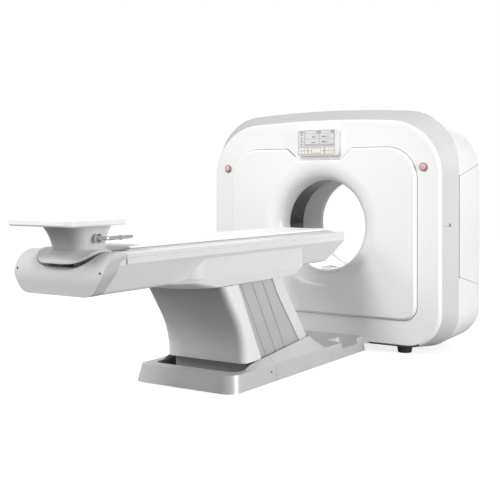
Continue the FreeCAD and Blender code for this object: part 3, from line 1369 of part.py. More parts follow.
def lift_arm(label, pivot_y, top_clearance, edge):
    """Two plates with eyes at both ends, joined by tie tubes; the row's frame is at
    the lower pivot. `edge` gives the corners of the side that backs its cover."""
    body = new_body(label, y=pivot_y, z=d.pivot_height)
    half = d.arm_half
    plate = new_sketch(body, "YZ", d.arm_x)
    away = half if label.startswith("front") else -half
    corners = [link_point(-0.04, away) + (half * 0.8,), link_point(1.04, away) + (half * 0.8,),
               link_point(1.04, -away) + (half * 0.8,)]
    corners += edge
    outline(plate, corners)
    ring(plate, 0, 0, d.shaft_pivot_radius + d.fit_clearance)
    ring(plate, d.link_reach, d.link_rise, d.shaft_pivot_radius + top_clearance)
    mirror(body, [pad(body, plate, d.arm_thickness, 1)])
    return body


def tie_bar(body, y, z, *radii):
    pad(body, ring(new_sketch(body, "YZ"), y, z, *radii), d.arm_x * 2 + d.arm_thickness, 0)


def front_cover_line(offset):
    """Lower bend and top of the front cover's sweep, moved inwards by offset."""
    rise = (d.pedestal_top - d.pedestal_bend_z).value
    reach = (d.pedestal_front_y - d.pedestal_top_y).value
    length = math.hypot(rise, reach)
    return ((d.pedestal_front_y + offset, d.pedestal_bend_z + offset * ((length - rise) / reach)),
            (d.pedestal_top_y + offset * (length / rise), d.pedestal_top))


def front_lift_arm():
    seat = d.pedestal_wall + d.near_clearance
    bend, top = front_cover_line(seat)
    slope = (top[0] - bend[0]) / (top[1] - bend[1])

    def on_cover(z):
        return (bend[0] + slope * (z - bend[1]) - d.front_pivot_y, z - d.pivot_height)

    low = d.pedestal_bend_z + (d.pedestal_top - d.pedestal_bend_z) * 0.62
    edge = [on_cover(d.pedestal_top - 30), on_cover(low),
            link_point(0.3, -d.arm_half * 1.3), link_point(-0.04, -d.arm_half) + (d.arm_half * 0.8,)]
    body = lift_arm("front_lift_arm", d.front_pivot_y, d.fit_clearance, edge)
    tube_y, tube_z = link_point(0.2, 0)
    tie_bar(body, tube_y, tube_z, d.tie_radius)
    tube_y, tube_z = link_point(0.72, 0)
    tie_bar(body, tube_y, tube_z, d.tie_radius)
    # crank lugs and pin that the ram pushes
    lug = new_sketch(body, "YZ", d.ram_radius)
    tube_y, tube_z = link_point(0.2, 0)
    pin = d.crank_pin_radius
    outline(lug, [(tube_y, tube_z - d.tie_radius * 0.8),
                  (d.crank_reach + pin, d.crank_rise - pin, pin * 0.8),
                  (d.crank_reach + pin, d.crank_rise + pin, pin * 0.8),
                  (tube_y, tube_z + d.tie_radius * 0.8)])
    mirror(body, [pad(body, lug, pin, 1)])
    pad(body, ring(new_sketch(body, "YZ"), d.crank_reach, d.crank_rise, pin), d.ram_radius * 2, 0)


def rear_wall_point(z, inwards=0):
    """Rear cover's outer face at a height, moved towards the foot end by inwards."""
    slope = (d.rear_strip_top_y - d.rear_strip_bottom_y) / (d.pedestal_top - d.rear_strip_bottom)
    return d.rear_strip_bottom_y + slope * (z - d.rear_strip_bottom) - inwards


def rear_lift_arm():
    seat = (d.pedestal_wall + d.near_clearance) * 1.3
    low = d.rear_strip_bottom + 60
    high = d.pedestal_top + 14
    edge = [(rear_wall_point(high, seat) - d.rear_pivot_y, high - d.pivot_height),
            (rear_wall_point(low, seat) - d.rear_pivot_y, low - d.pivot_height),
            link_point(-0.04, d.arm_half) + (d.arm_half * 0.8,)]
    body = lift_arm("rear_lift_arm", d.rear_pivot_y, d.near_clearance, edge)
    tube_y, tube_z = link_point(0.75, 0)
    tie_bar(body, tube_y, tube_z, d.tie_radius)
    tie_bar(body, 0, 0, d.tie_radius, d.shaft_pivot_radius + d.fit_clearance)


def ram():
    """Fixed guide on two feet, and the rod whose slotted head drives the crank pin."""
    y = d.crank_reach + d.front_pivot_y
    z = d.crank_rise + d.pivot_height
    housing = new_body("lift_ram_housing")
    start = d.ram_housing_front_y
    length = d.ram_housing_rear_y - start
    pad(housing, ring(new_sketch(housing, "XZ", start), 0, z, d.ram_housing_radius), length, 1)
    feet = new_sketch(housing, "XY", d.base_plate)
    half = d.ram_housing_radius
    for middle in (slat_pivot(1) + slat_pivot(2), slat_pivot(2) + slat_pivot(3)):
        rectangle(feet, -half, half, middle / 2 - half / 2, middle / 2 + half / 2)
    pad(housing, feet, z - d.base_plate - half / 2, 1)
    bore = ring(new_sketch(housing, "XZ", start), 0, z, d.ram_radius + d.fit_clearance)
    pocket(housing, bore, length - half, 1)

    rod = new_body("lift_ram_rod")
    pin = d.crank_pin_radius
    slack = d.ram_slot_clearance
    head = new_sketch(rod, "YZ")
    rectangle(head, y - pin * 2.2, y + pin * 2.2, z - pin * 2, z + pin * 2.4, pin / 2)
    pad(rod, head, (d.ram_radius - 2) * 2, 0)
    slot = new_sketch(rod, "YZ")
    rectangle(slot, y - pin - slack, y + pin + slack, z - pin - slack, z + pin * 1.8)
    pocket(rod, slot, d.ram_radius * 4, 0)
    reach = start + length * 0.55 - (y + pin * 2.2)
    pad(rod, ring(new_sketch(rod, "XZ", y + pin * 2.2), 0, z, d.ram_radius), reach, 1)


def front_pedestal_cover():
    """White front cover: a concave sweep with two side flanges, open behind."""
    body = new_body("front_pedestal_cover")
    bend, top = front_cover_line(as_size(0))
    low = d.pedestal_bottom
    shape = new_sketch(body, "YZ")
    outline(shape, [(bend[0], low), bend + (d.pedestal_bend_round,), top,
                    (d.flange_top_y, d.pedestal_top), (d.flange_bottom_y, low)])
    pad(body, shape, d.pedestal_half * 2, 0)
    half = d.pedestal_half.value
    behind = d.flange_bottom_y.value - 5
    fillet(body, d.pedestal_corner,
           lambda b: b.XLength < 0.05 and near(abs(b.XMin), half) and b.ZLength > 20 and b.YMax < behind)
    doc.recompute()
    base = body.Tip
    open_faces = ["Face%d" % (i + 1) for i, face in enumerate(base.Shape.Faces)
                  if face.BoundBox.ZLength < 0.05
                  or (face.BoundBox.YMax > behind and face.BoundBox.XLength > half)]
    shell = body.newObject("PartDesign::Thickness", "front_pedestal_cover_shell")
    shell.Base = (base, open_faces)
    shell.Reversed = True
    bind(shell, "Value", d.pedestal_wall)


def rear_pedestal_cover():
    """White rear cover: a leaning wall with a narrow strip down each side."""
    body = new_body("rear_pedestal_cover")
    low = d.rear_strip_bottom
    high = d.pedestal_top + 8
    width = d.rear_strip_width
    shape = new_sketch(body, "YZ")
    bend = d.pedestal_top - width
    outline(shape, [(rear_wall_point(low), low), (rear_wall_point(high), high),
                    (rear_wall_point(high) - width, high),
                    (rear_wall_point(bend) - d.rear_strip_bend_width, bend),
                    (rear_wall_point(low) - d.rear_strip_low_width, low)])
    pad(body, shape, d.pedestal_half * 2, 0)
    wall = d.pedestal_wall
    skin = wall * 1.3
    hollow = new_sketch(body, "YZ")
    far = rear_wall_point(high) - width * 3
    outline(hollow, [(rear_wall_point(low - wall, skin), low - wall),
                     (rear_wall_point(high + wall, skin), high + wall),
                     (far, high + wall), (far, low - wall)])
    pocket(body, hollow, (d.pedestal_half - wall) * 2, 0)
    half = d.pedestal_half.value
    fillet(body, wall - 1, lambda b: b.XLength < 0.05 and near(abs(b.XMin), half) and b.ZLength > 300
           and b.YMax > d.rear_strip_bottom_y.value - 5)


def side_slat(index):
    """One slat on each side, welded to the rod that they swing on."""
    body = new_body("side_slat_%d" % (index + 1))
    edges = (d.slat_edge_1, d.slat_edge_2, d.slat_edge_3, d.slat_edge_4, d.slat_edge_5)
    lean = d.link_reach / d.link_rise
    layer = d.pedestal_half - d.pedestal_wall - d.slat_gap - d.slat_pitch * (3 - index)

    def edge_at(edge, z):
        return edge + lean * (z - d.pedestal_top)

    plate = new_sketch(body, "YZ", layer - d.slat_thickness)
    front = edges[index] - (d.slat_overlap * 2 if index == 0 else 0)
    rear = edges[index + 1] + (d.slat_overlap if index < 3 else 0)
    rear_low = edge_at(rear, d.slat_bottom)
    if index == 3:
        rear = d.slat_rear_top_y
        rear_low = d.slat_rear_bottom_y
    outline(plate, [(edge_at(front, d.slat_bottom), d.slat_bottom), (rear_low, d.slat_bottom),
                    (edge_at(rear, d.slat_top), d.slat_top), (edge_at(front, d.slat_top), d.slat_top)])
    mirror(body, [pad(body, plate, d.slat_thickness, 1)])
    rod = ring(new_sketch(body, "YZ"), slat_pivot(index), d.pivot_height, d.slat_rod_radius)
    pad(body, rod, (layer - d.slat_thickness / 2) * 2, 0)


# ----------------------------------------------------------------------------
# Table top
# ----------------------------------------------------------------------------
def boat_section(inset=0):
    return mirrored([(d.boat_half - inset, d.boat_bottom + inset, d.boat_round - inset),
                     (d.rail_half - d.rail_wall - inset, d.rail_bottom)])


def boat_shell():
    """Lower table shell with sloping sides, a rising bow and a hatch over the lift."""
    body = new_body("boat_shell")
    wall = d.boat_wall
    foot = d.cap_seam_low_y + d.near_clearance
    head = d.table_head_y - 8
    pad(body, outline(new_sketch(body, "XZ", foot), boat_section()), head - foot, 1)
    bow = new_sketch(body, "YZ")
    outline(bow, [(d.bow_low_y - 40, d.boat_bottom - 60), (d.bow_low_y - 40, d.boat_bottom),
                  (d.bow_low_y, d.boat_bottom, d.bow_round), (head, d.rail_bottom - 6),
                  (head + 60, d.rail_bottom - 6), (head + 60, d.boat_bottom - 60)])
    pocket(body, bow, d.rail_half * 4, 0)
    # the sides rise behind the cap, up to the seam
    cheeks = new_sketch(body, "XZ", foot)
    outer = d.rail_half - d.rail_wall
    for side in (-1, 1):
        outline(cheeks, [(outer * side, d.rail_bottom - wall), (outer * side, d.cap_seam_top),
                         ((outer - wall) * side, d.cap_seam_top),
                         ((outer - wall) * side, d.rail_bottom - wall)])
    pad(body, cheeks, d.table_foot_y - d.near_clearance - foot, 1)
    inside = outline(new_sketch(body, "XZ", foot - wall), boat_section(wall))
    pocket(body, inside, d.bow_low_y - foot, 1)
    trough = d.trough_half + d.deck_wall + d.near_clearance
    bed = new_sketch(body, "XZ", d.bow_low_y - wall * 2)
    rectangle(bed, -trough, trough, d.trough_floor - d.deck_wall - d.near_clearance, d.rail_bottom + wall)
    pocket(body, bed, head - d.bow_low_y + wall * 4, 1)
    stern = new_sketch(body, "YZ")
    gap = d.near_clearance
    outline(stern, [(foot - 60, d.boat_bottom), (foot, d.boat_bottom),
                    (d.cap_seam_high_y + gap, d.cap_seam_top - gap, d.cap_seam_round),
                    (d.table_foot_y, d.cap_seam_top - gap), (d.table_foot_y, d.cap_seam_top + 20),
                    (foot - 60, d.cap_seam_top + 20)])
    pocket(body, stern, d.rail_half * 4, 0)
    hatch = new_sketch(body, "XY", d.boat_bottom - wall)
    rectangle(hatch, -d.hatch_half, d.hatch_half, d.hatch_foot_y, d.hatch_head_y, 30)
    pocket(body, hatch, wall * 4, 1)


def table_deck():
    """Extruded deck: side rails with a groove, and the trough that the cradle runs in."""
    body = new_body("table_deck")
    rail = d.rail_half
    wall = d.deck_wall
    groove = 2.5
    low = d.rail_bottom + d.near_clearance
    section = new_sketch(body, "XZ", d.table_foot_y)
    right = [(d.trough_half + wall, d.trough_floor - wall),
             (d.trough_half + wall, d.rail_top - wall),
             (rail - d.rail_wall, d.rail_top - wall), (rail - d.rail_wall, low), (rail, low),
             (rail, d.rail_groove - groove), (rail - groove, d.rail_groove), (rail, d.rail_groove + groove),
             (rail, d.rail_top, 4), (d.trough_half, d.rail_top), (d.trough_half, d.trough_floor)]
    outline(section, mirrored(right))
    length = d.table_head_y - d.table_foot_y
    pad(body, section, length, 1)
    end = new_sketch(body, "XZ", d.table_head_y - wall)
    rectangle(end, -d.trough_half - wall, d.trough_half + wall, d.trough_floor - wall,
              d.rail_top - d.cradle_dip)
    pad(body, end, wall, 1)
    block = new_sketch(body, "XZ", d.table_head_y - d.head_round - wall)
    plan = new_sketch(body, "XY", d.trough_floor - wall)
    head = d.table_head_y
    bend = d.head_round * 1.5
    for side in (-1, 1):
        outline(block, [(rail * side, low), ((d.trough_half + wall) * side, low),
                        ((d.trough_half + wall) * side, d.rail_top - wall / 2),
                        (rail * side, d.rail_top - wall / 2)])
        outline(plan, [(rail * side, head - bend), (rail * side, head, d.head_round),
                       ((rail - bend) * side, head), ((rail - bend) * side, head + wall),
                       ((rail + wall) * side, head + wall), ((rail + wall) * side, head - bend)])
    pad(body, block, d.head_round + wall, 1)
    pocket(body, plan, d.rail_top - d.trough_floor + wall * 2, 1)


def foot_end_cap():
    """Grey end cap: bevelled sides, a rounded nose and the channel for the cradle."""
    body = new_body("foot_end_cap")
    rear = d.table_foot_y - d.near_clearance
    front = outline(new_sketch(body, "XZ", d.cap_front_y), mirrored([
        (d.cap_half - d.cap_flare, d.cap_bottom, d.cap_low_round),
        (d.cap_half, d.cap_side_z, d.cap_low_round),
        (d.cap_half, d.cap_top, d.cap_top_round)]))
    back = outline(new_sketch(body, "XZ", rear), mirrored([
        (d.boat_half, d.boat_bottom, 40), (d.rail_half - 4, d.rail_bottom - 14, 30),
        (d.rail_half, d.rail_top, 12)]))
    loft(body, [front, back])
    nose = new_sketch(body, "YZ")
    outline(nose, [(d.cap_front_y - 60, d.cap_bottom - 20), (d.cap_front_y, d.cap_bottom - 20),
                   (d.cap_front_y, d.cap_top, d.cap_nose_round), (rear + 20, d.cap_top - 6),
                   (rear + 20, d.cap_top + 60), (d.cap_front_y - 60, d.cap_top + 60)])
    pocket(body, nose, d.rail_half * 4, 0)
    seam = new_sketch(body, "YZ")
    outline(seam, [(d.cap_seam_low_y, d.boat_bottom - 20), (d.cap_seam_low_y, d.boat_bottom),
                   (d.cap_seam_high_y, d.cap_seam_top, d.cap_seam_round),
                   (rear + 40, d.cap_seam_top), (rear + 40, d.boat_bottom - 20)])
    pocket(body, seam, d.rail_half * 4, 0)
    channel = new_sketch(body, "XZ", d.cap_front_y - 10)
    high = d.cap_top + 40
    bowl = d.cap_bowl_round
    outline(channel, mirrored([(d.cap_bowl_half, d.trough_floor, bowl), (d.cap_bowl_half, high + bowl)]))
    pocket(body, channel, d.rail_half, 1)
    hollow = new_sketch(body, "XZ", rear + 2)
    wall = d.cap_wall
    outline(hollow, mirrored([(d.boat_half - wall * 2, d.boat_bottom + wall, 20),
                              (d.cap_half - wall * 3, d.trough_floor - wall)]))
    pocket(body, hollow, rear - d.cap_front_y - wall * 3 + 2, -1)


def table_frame():
    """Two beams inside the boat, cross members, the pivot hangers and the top shafts."""
    body = new_body("table_frame")
    high = d.trough_floor - d.deck_wall - d.near_clearance
    foot = d.table_foot_y + 40
    head = d.bow_low_y - 20
    inner = d.frame_beam_x
    outer = inner + d.frame_beam_width
    beam = rectangle(new_sketch(body, "XZ", foot), inner, outer, d.frame_bottom, high)
    wall = d.boat_wall
    rectangle(beam, inner + wall, outer - wall, d.frame_bottom + wall, high - wall)
    mirror(body, [pad(body, beam, head - foot, 1)])
    cross = new_sketch(body, "XY", d.frame_bottom)
    tops = [pivot + d.link_reach for pivot in (d.front_pivot_y, d.rear_pivot_y)]
    for y in (foot + 30, tops[0], tops[1], head - 30):
        rectangle(cross, -outer, outer, y - 25, y + 25)
    pad(body, cross, high - d.frame_bottom, 1)
    hanger = new_sketch(body, "YZ", d.hanger_x)
    z = d.pivot_height + d.link_rise
    for y in tops:
        outline(hanger, [(y - 30, z, 24), (y, z - 30, 24), (y + 30, z, 24), (y + 60, high), (y - 60, high)])
    plates = pad(body, hanger, d.hanger_thickness, 1)
    gusset = new_sketch(body, "XY", d.frame_bottom)
    for y in tops:
        rectangle(gusset, outer - wall, d.hanger_x + wall, y - 25, y + 25)
    mirror(body, [plates, pad(body, gusset, high - d.frame_bottom, 1)])
    shafts = new_sketch(body, "YZ")
    for y in tops:
        ring(shafts, y, z, d.shaft_pivot_radius)
    pad(body, shafts, (d.hanger_x + d.hanger_thickness) * 2, 0)


def saddle_fairing():
    """White fairing from the boat's sides down to the pedestal, open over the lift."""
    body = new_body("saddle_fairing")
    sections = []
    tail = d.saddle_tail_middle_y
    for z, half, nose, rear in (
            (d.saddle_bottom, d.saddle_bottom_half, d.saddle_nose_y, d.saddle_tail_y),
            (d.saddle_middle, d.saddle_middle_half, d.saddle_nose_middle_y, tail),
            (d.saddle_waist, d.saddle_middle_half, d.saddle_waist_y, tail),
            (d.saddle_top, d.saddle_top_half, d.saddle_nose_top_y, tail - 10)):
        sketch = new_sketch(body, "XY", z)
        outline(sketch, [(-half, nose, d.saddle_nose_round), (half, nose, d.saddle_nose_round),
                         (half, rear, d.saddle_tail_round), (-half, rear, d.saddle_tail_round)])
        sections.append(sketch)
    loft(body, sections)
    cavity = new_sketch(body, "XY", d.saddle_bottom - 10)
    rectangle(cavity, -d.saddle_cavity_half, d.saddle_cavity_half,
              d.hatch_foot_y, d.saddle_tail_y - 50, 20)
    pocket(body, cavity, d.saddle_top, 1)
    gap = d.near_clearance
    boat = new_sketch(body, "XZ", d.saddle_nose_middle_y - 50)
    outline(boat, mirrored([(d.boat_half + gap, d.boat_bottom - gap, d.boat_round + gap),
                            (d.rail_half - d.rail_wall + gap, d.rail_bottom),
                            (d.rail_half - d.rail_wall + gap, d.rail_bottom + 60)]))
    pocket(body, boat, tail - d.saddle_nose_middle_y + 200, 1)


# ----------------------------------------------------------------------------
# Cradle, mattress, tray
# ----------------------------------------------------------------------------
def dished(half, shoulder, level, thickness):
    """Section with flat edges and a dished middle."""
    dip = d.cradle_dip
    soft = d.cradle_shoulder_round
    curve = d.cradle_curve
    top = level + thickness
    return [(-half, level), (-shoulder, level, soft), (0, level - dip, curve), (shoulder, level, soft),
            (half, level), (half, top), (shoulder, top, soft), (0, top - dip, curve),
            (-shoulder, top, soft), (-half, top)]


def cradle_shell():
    body = new_body("cradle_shell")
    level = d.rail_top + d.near_clearance
    section = new_sketch(body, "XZ", d.cradle_foot_y)
    outline(section, dished(d.cradle_half, d.trough_half - d.cradle_flat, level, d.cradle_shell))
    pad(body, section, d.cradle_head_y - d.cradle_foot_y, 1)


def mattress():
    """Thin pad whose underside follows the dished cradle."""
    body = new_body("mattress")
    level = d.rail_top + d.near_clearance * 2 + d.cradle_shell
    section = new_sketch(body, "XZ", d.pad_foot_y)
    shoulder = d.trough_half - d.cradle_flat
    soft = d.cradle_shoulder_round
    outline(section, [(-d.pad_half, level), (-shoulder, level, soft),
                      (0, level - d.cradle_dip, d.cradle_curve),
                      (shoulder, level, soft), (d.pad_half, level),
                      (d.pad_half, d.pad_top, d.pad_round), (0, d.pad_top - 4, 3000),
                      (-d.pad_half, d.pad_top, d.pad_round)])
    pad(body, section, d.pad_head_y - d.pad_foot_y, 1)


def tray_pedestal():
    """Oval foot in the cap's channel, its runners, and the flared neck."""
    body = new_body("tray_pedestal")
    lip = new_sketch(body, "XY", d.lip_bottom)
    rectangle(lip, -d.lip_half, d.lip_half, d.lip_front_y, d.lip_rear_y, d.lip_round)
    pad(body, lip, 8, 1)
    crease_side = d.neck_bottom_half + d.neck_crease
    crease_end = d.neck_bottom_length / 2 + d.neck_crease
    low = rectangle(new_sketch(body, "XY", d.lip_bottom + 8), -d.lip_half, d.lip_half,
                    d.lip_front_y, d.lip_rear_y, d.lip_round)
    high = rectangle(new_sketch(body, "XY", d.neck_bottom), -crease_side, crease_side,
                     d.neck_y - crease_end, d.neck_y + crease_end, d.lip_round)
    loft(body, [low, high])
    wings = new_sketch(body, "XY", d.neck_bottom - d.wing_depth)
    outline(wings, [(-d.wing_half, d.wing_front_y, d.wing_round),
                    (d.wing_half, d.wing_front_y, d.wing_round),
                    (d.wing_half, d.lip_rear_y), (-d.wing_half, d.lip_rear_y)])
    pad(body, wings, d.wing_depth, 1)
    # underside that follows the cap's bowl
    bowl = d.cap_bowl_round - d.lip_gap
    side = d.cap_bowl_half - d.lip_gap
    under = new_sketch(body, "XZ", d.lip_front_y - d.lip_gap)
    outline(under, mirrored([(d.rail_half, d.trough_floor), (d.rail_half, d.lip_bottom + bowl * 2),
                             (side, d.lip_bottom + bowl * 2), (side, d.lip_bottom, bowl)]))
    pocket(body, under, d.rail_half * 2, 1)
    sections = []
    for z, half, length, middle in (
            (d.neck_bottom, d.neck_bottom_half, d.neck_bottom_length, d.neck_y),
            (d.neck_middle, d.neck_middle_half, d.neck_middle_length, (d.neck_y + d.neck_top_y) / 2),
            (d.neck_top, d.neck_top_half, d.neck_top_length, d.neck_top_y)):
        sketch = new_sketch(body, "XY", z)
        rectangle(sketch, -half, half, middle - length / 2, middle + length / 2, d.neck_round)
        sections.append(sketch)
    loft(body, sections)
    sockets = new_sketch(body, "YZ")
    ring(sockets, (d.neck_y + d.neck_top_y) / 2, d.neck_middle, d.handle_boss_radius)
    pad(body, sockets, d.handle_socket * 2, 0)
    runners = new_sketch(body, "XY", d.trough_floor + d.near_clearance)
    for side in (-1, 1):
        middle = d.runner_x * side
        rectangle(runners, middle - 25, middle + 25, d.lip_front_y + 110, d.lip_rear_y - 20)
    pad(body, runners, d.lip_bottom - d.trough_floor, 1)


def tray():
    body = new_body("tray")
    low = d.neck_top + d.near_clearance
    shape = rectangle(new_sketch(body, "XY", low), -d.tray_half, d.tray_half,
                      d.tray_front_y, d.tray_rear_y, d.tray_corner)
    pad(body, shape, d.tray_thickness, 1)
    chamfer(body, d.tray_bevel, lambda b: b.ZLength < 0.05)
    rim = d.tray_rim
    dish = rectangle(new_sketch(body, "XY", low + d.tray_thickness), -d.tray_half + rim, d.tray_half - rim,
                     d.tray_front_y + rim, d.tray_rear_y - rim, d.tray_corner - rim / 2)
    pocket(body, dish, d.tray_dish, -1)


def grab_handle(side):
    """Bent tube with a boss on the neck and a collar part way along."""
    body = new_body("handle_right" if side > 0 else "handle_left")
    start = d.handle_socket + d.near_clearance
    y = (d.neck_y + d.neck_top_y) / 2
    z = d.neck_middle
    boss = ring(new_sketch(body, "YZ", start * side), y, z, d.handle_boss_radius)
    pad(body, boss, d.handle_boss, side)
    path = new_sketch(body, "XY", z)
    far = d.handle_x * side
    bend = d.handle_bend
    first = path.addGeometry(Part.LineSegment(
        V((start.value + 2) * side, y.value, 0), V(far.value - bend.value * side, y.value, 0)))
    half_way = bend.value * (1 - math.sqrt(0.5))
    arc = path.addGeometry(Part.Arc(
        V(far.value - bend.value * side, y.value, 0),
        V(far.value - half_way * side, y.value + half_way, 0),
        V(far.value, y.value + bend.value, 0)))
    last = path.addGeometry(Part.LineSegment(
        V(far.value, y.value + bend.value, 0), V(far.value, d.handle_end_y.value, 0)))
    fix_point(path, first, 1, (start + 2) * side, y)
    fix_point(path, first, 2, far - bend * side, y)
    fix_point(path, last, 1, far, y + bend)
    fix_point(path, last, 2, far, d.handle_end_y)
    near_end, far_end = (1, 2) if side > 0 else (2, 1)
    path.addConstraint(Sketcher.Constraint("Tangent", first, 2, arc, near_end))
    path.addConstraint(Sketcher.Constraint("Coincident", arc, far_end, last, 1))
    section = ring(new_sketch(body, "YZ", (start + 2) * side), y, z, d.handle_radius)
    tube = body.newObject("PartDesign::AdditivePipe", body.Label + "_pipe")
    tube.Profile = section
    tube.Spine = (path, [""])
    collar_start = d.handle_end_y - (d.handle_end_y - y) * 0.45
    collar = ring(new_sketch(body, "XZ", collar_start), far, z, d.handle_radius + 3)
    pad(body, collar, d.handle_radius * 1.4, 1)


# ----------------------------------------------------------------------------
# Build, check and write
# ----------------------------------------------------------------------------
def build():
    front_cover()
    front_face_panel()
    lower_front_panel()
    scan_window_ring()
    side_band()
    rear_cover()
    console_housing()
    display_screen()
    keypad()
    estop_collars()
    gantry_frame()
    levelling_feet()
    bearing()
    drive()
    brush_block()
    for side in (-1, 1):
        rear_side_panel(side)
        estop_button(side)
        cover_lock(side)
    rotor_disc()
    slip_ring()
    xray_tube()
    collimator()
    detector_arc()
    rotor_cases()
    plinth_foot_cover()
    plinth_middle_cover()
    plinth_rear_cover()
    base_frame()
    pedestal_kick_panel()
    base_shafts()
    front_lift_arm()
    rear_lift_arm()
    ram()
    front_pedestal_cover()
    rear_pedestal_cover()
    for index in range(4):
        side_slat(index)
    table_frame()
    saddle_fairing()
    boat_shell()
    table_deck()
    foot_end_cap()
    cradle_shell()
    mattress()
    tray_pedestal()
    tray()
    for side in (-1, 1):
        grab_handle(side)
    doc.recompute()


def check():
    """Stop if any object failed to compute or any sub-part has no valid solid."""
    problems = ["%s: %s" % (thing.Name, thing.State) for thing in doc.Objects
                if "Invalid" in thing.State or "Error" in thing.State]
    for node in NODES:
        shape = node.Shape
        if shape.isNull() or not shape.isValid() or not shape.Solids:
            problems.append("%s has no valid solid" % node.Label)
    if problems:
        raise RuntimeError("; ".join(problems))


build()
check()
os.makedirs("parts", exist_ok=True)
for node in NODES:
    node.Shape.exportStep("parts/%s.step" % node.Label)
print("%d sub-parts written" % len(NODES))
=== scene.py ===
"""Look of a CT scanner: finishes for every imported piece, and the pieces that are
modelled here: the padded mattress, the tray's flowing foot, the liner of the bore's
rear half, the display's picture, the keys, the emergency stop caps, the small cover
screws and the printed marks at the cover locks. Lengths are metres.
"""
import json
import math

import bpy
from bpy.props import FloatProperty, FloatVectorProperty, IntProperty, PointerProperty
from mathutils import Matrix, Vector

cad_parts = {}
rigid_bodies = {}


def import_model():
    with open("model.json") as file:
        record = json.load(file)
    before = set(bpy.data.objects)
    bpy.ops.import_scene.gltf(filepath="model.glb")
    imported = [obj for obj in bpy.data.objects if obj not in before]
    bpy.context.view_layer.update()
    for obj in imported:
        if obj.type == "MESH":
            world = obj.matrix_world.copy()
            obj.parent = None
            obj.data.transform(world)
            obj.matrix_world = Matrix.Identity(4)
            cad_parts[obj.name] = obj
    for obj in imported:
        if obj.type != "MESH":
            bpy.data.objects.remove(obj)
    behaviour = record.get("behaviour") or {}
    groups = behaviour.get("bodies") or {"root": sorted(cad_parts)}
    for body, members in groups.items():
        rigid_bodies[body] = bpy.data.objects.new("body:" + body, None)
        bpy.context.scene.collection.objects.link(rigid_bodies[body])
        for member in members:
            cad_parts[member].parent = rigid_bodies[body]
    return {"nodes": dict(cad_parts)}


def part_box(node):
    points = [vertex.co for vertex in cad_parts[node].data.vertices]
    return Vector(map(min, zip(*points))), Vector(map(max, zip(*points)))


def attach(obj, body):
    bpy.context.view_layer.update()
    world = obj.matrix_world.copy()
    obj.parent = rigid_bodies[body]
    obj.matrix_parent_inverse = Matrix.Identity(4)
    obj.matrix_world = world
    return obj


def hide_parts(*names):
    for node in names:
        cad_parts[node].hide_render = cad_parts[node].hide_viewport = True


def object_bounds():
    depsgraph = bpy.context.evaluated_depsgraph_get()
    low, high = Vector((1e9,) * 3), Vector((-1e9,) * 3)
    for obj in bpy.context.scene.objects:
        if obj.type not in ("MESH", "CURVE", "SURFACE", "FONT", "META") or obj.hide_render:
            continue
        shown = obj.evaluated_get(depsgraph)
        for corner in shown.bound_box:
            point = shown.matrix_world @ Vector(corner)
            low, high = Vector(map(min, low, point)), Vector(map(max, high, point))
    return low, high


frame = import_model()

bl_info = {
    "name": "CT scanner",
    "version": (1, 0, 0),
    "blender": (4, 5, 0),
    "location": "3D View > Sidebar > CT scanner",
    "description": "Finishes a packed CT scanner and sets it in a pale studio",
    "category": "Object",
}

CAD_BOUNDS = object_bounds()
NODES = frame["nodes"]
# distance outside the part at which a ray towards a cover starts
OUTSIDE = 0.5


def middle_of(node):
    """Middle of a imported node's box."""
    low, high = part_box(node)
    return (low + high) / 2


BORE_HEIGHT = middle_of("scan_window_ring").z
# colour of the painted shade in open joints and under overhangs
PAINTED_SHADE_TONE = (0.10, 0.10, 0.10)
# default colour of a node group's sockets
PALE = (0.8, 0.8, 0.8, 1.0)
# settings that the moulded shells share
MOULDED = {"gloss_shift": 0.03, "grain": 0.03, "grain_scale": 260.0}


# ---- Sizes and colours that a user would change ----
def colour(name, description, value):
    """A colour that the panel shows."""
    return FloatVectorProperty(name=name, description=description, default=value, subtype="COLOR",
                               size=3, min=0.0, max=1.0)


def length(name, description, value):
    """A length in metres that the panel shows."""
    return FloatProperty(name=name, description=description, default=value, unit="LENGTH",
                         subtype="DISTANCE")


def number(name, description, value):
    """A plain number that the panel shows."""
    return FloatProperty(name=name, description=description, default=value)


class ScannerFinishes(bpy.types.PropertyGroup):
    """Colours of the scanner's finishes."""
    gantry_white: colour("Gantry white", "Moulded gantry covers", (0.90, 0.90, 0.90))
    table_white: colour("Table white", "Table shells and pedestal covers", (0.71, 0.71, 0.71))
    band_silver: colour("Band silver", "Painted band round the gantry", (0.57, 0.57, 0.575))
    cap_silver: colour("Cap silver", "Foot-end cap of the table", (0.50, 0.50, 0.505))
    plinth_silver: colour("Plinth silver", "Plinth covers", (0.60, 0.60, 0.605))
    neck_silver: colour("Neck silver", "Tray's foot and neck", (0.66, 0.66, 0.665))
    slat_grey: colour("Slat grey", "Side slats of the pedestal", (0.50, 0.50, 0.505))
    stop_red: colour("Stop red", "Emergency stop caps", (0.84, 0.40, 0.40))


class MattressSizes(bpy.types.PropertyGroup):
    """Make of the patient mattress."""
    voxel: length("Remesh size", "Edge length of the simulated cover", 0.009)
    swell: length("Swell", "Most that the padding may push its cover out", 0.004)
    pressure: number("Pressure", "Pressure of the padding on its cover", 4.0)
    frames: IntProperty(name="Frames", description="Steps of the cloth simulation", default=16, min=1, max=40)


class ConsoleSizes(bpy.types.PropertyGroup):
    """Keys and display of the gantry's console."""
    key_rise: length("Key rise", "Keys stand proud of the keypad", 0.0014)
    key_gap: length("Key gap", "Gap between neighbouring keys", 0.0045)
    pane_rise: length("Pane rise", "Panes of the display's picture above its glass", 0.0004)
    mark_rise: length("Mark rise", "Marks on the picture above its panes", 0.0003)
    pane_inset: length("Pane inset", "Picture inside the display's edge", 0.004)
    key_border: length("Key border", "Flat border of a key", 0.0012)
    key_dish: length("Key dish", "Sloped edge of a key's hollow", 0.0010)
    key_hollow: length("Key hollow", "Depth of a key's hollow", 0.0003)


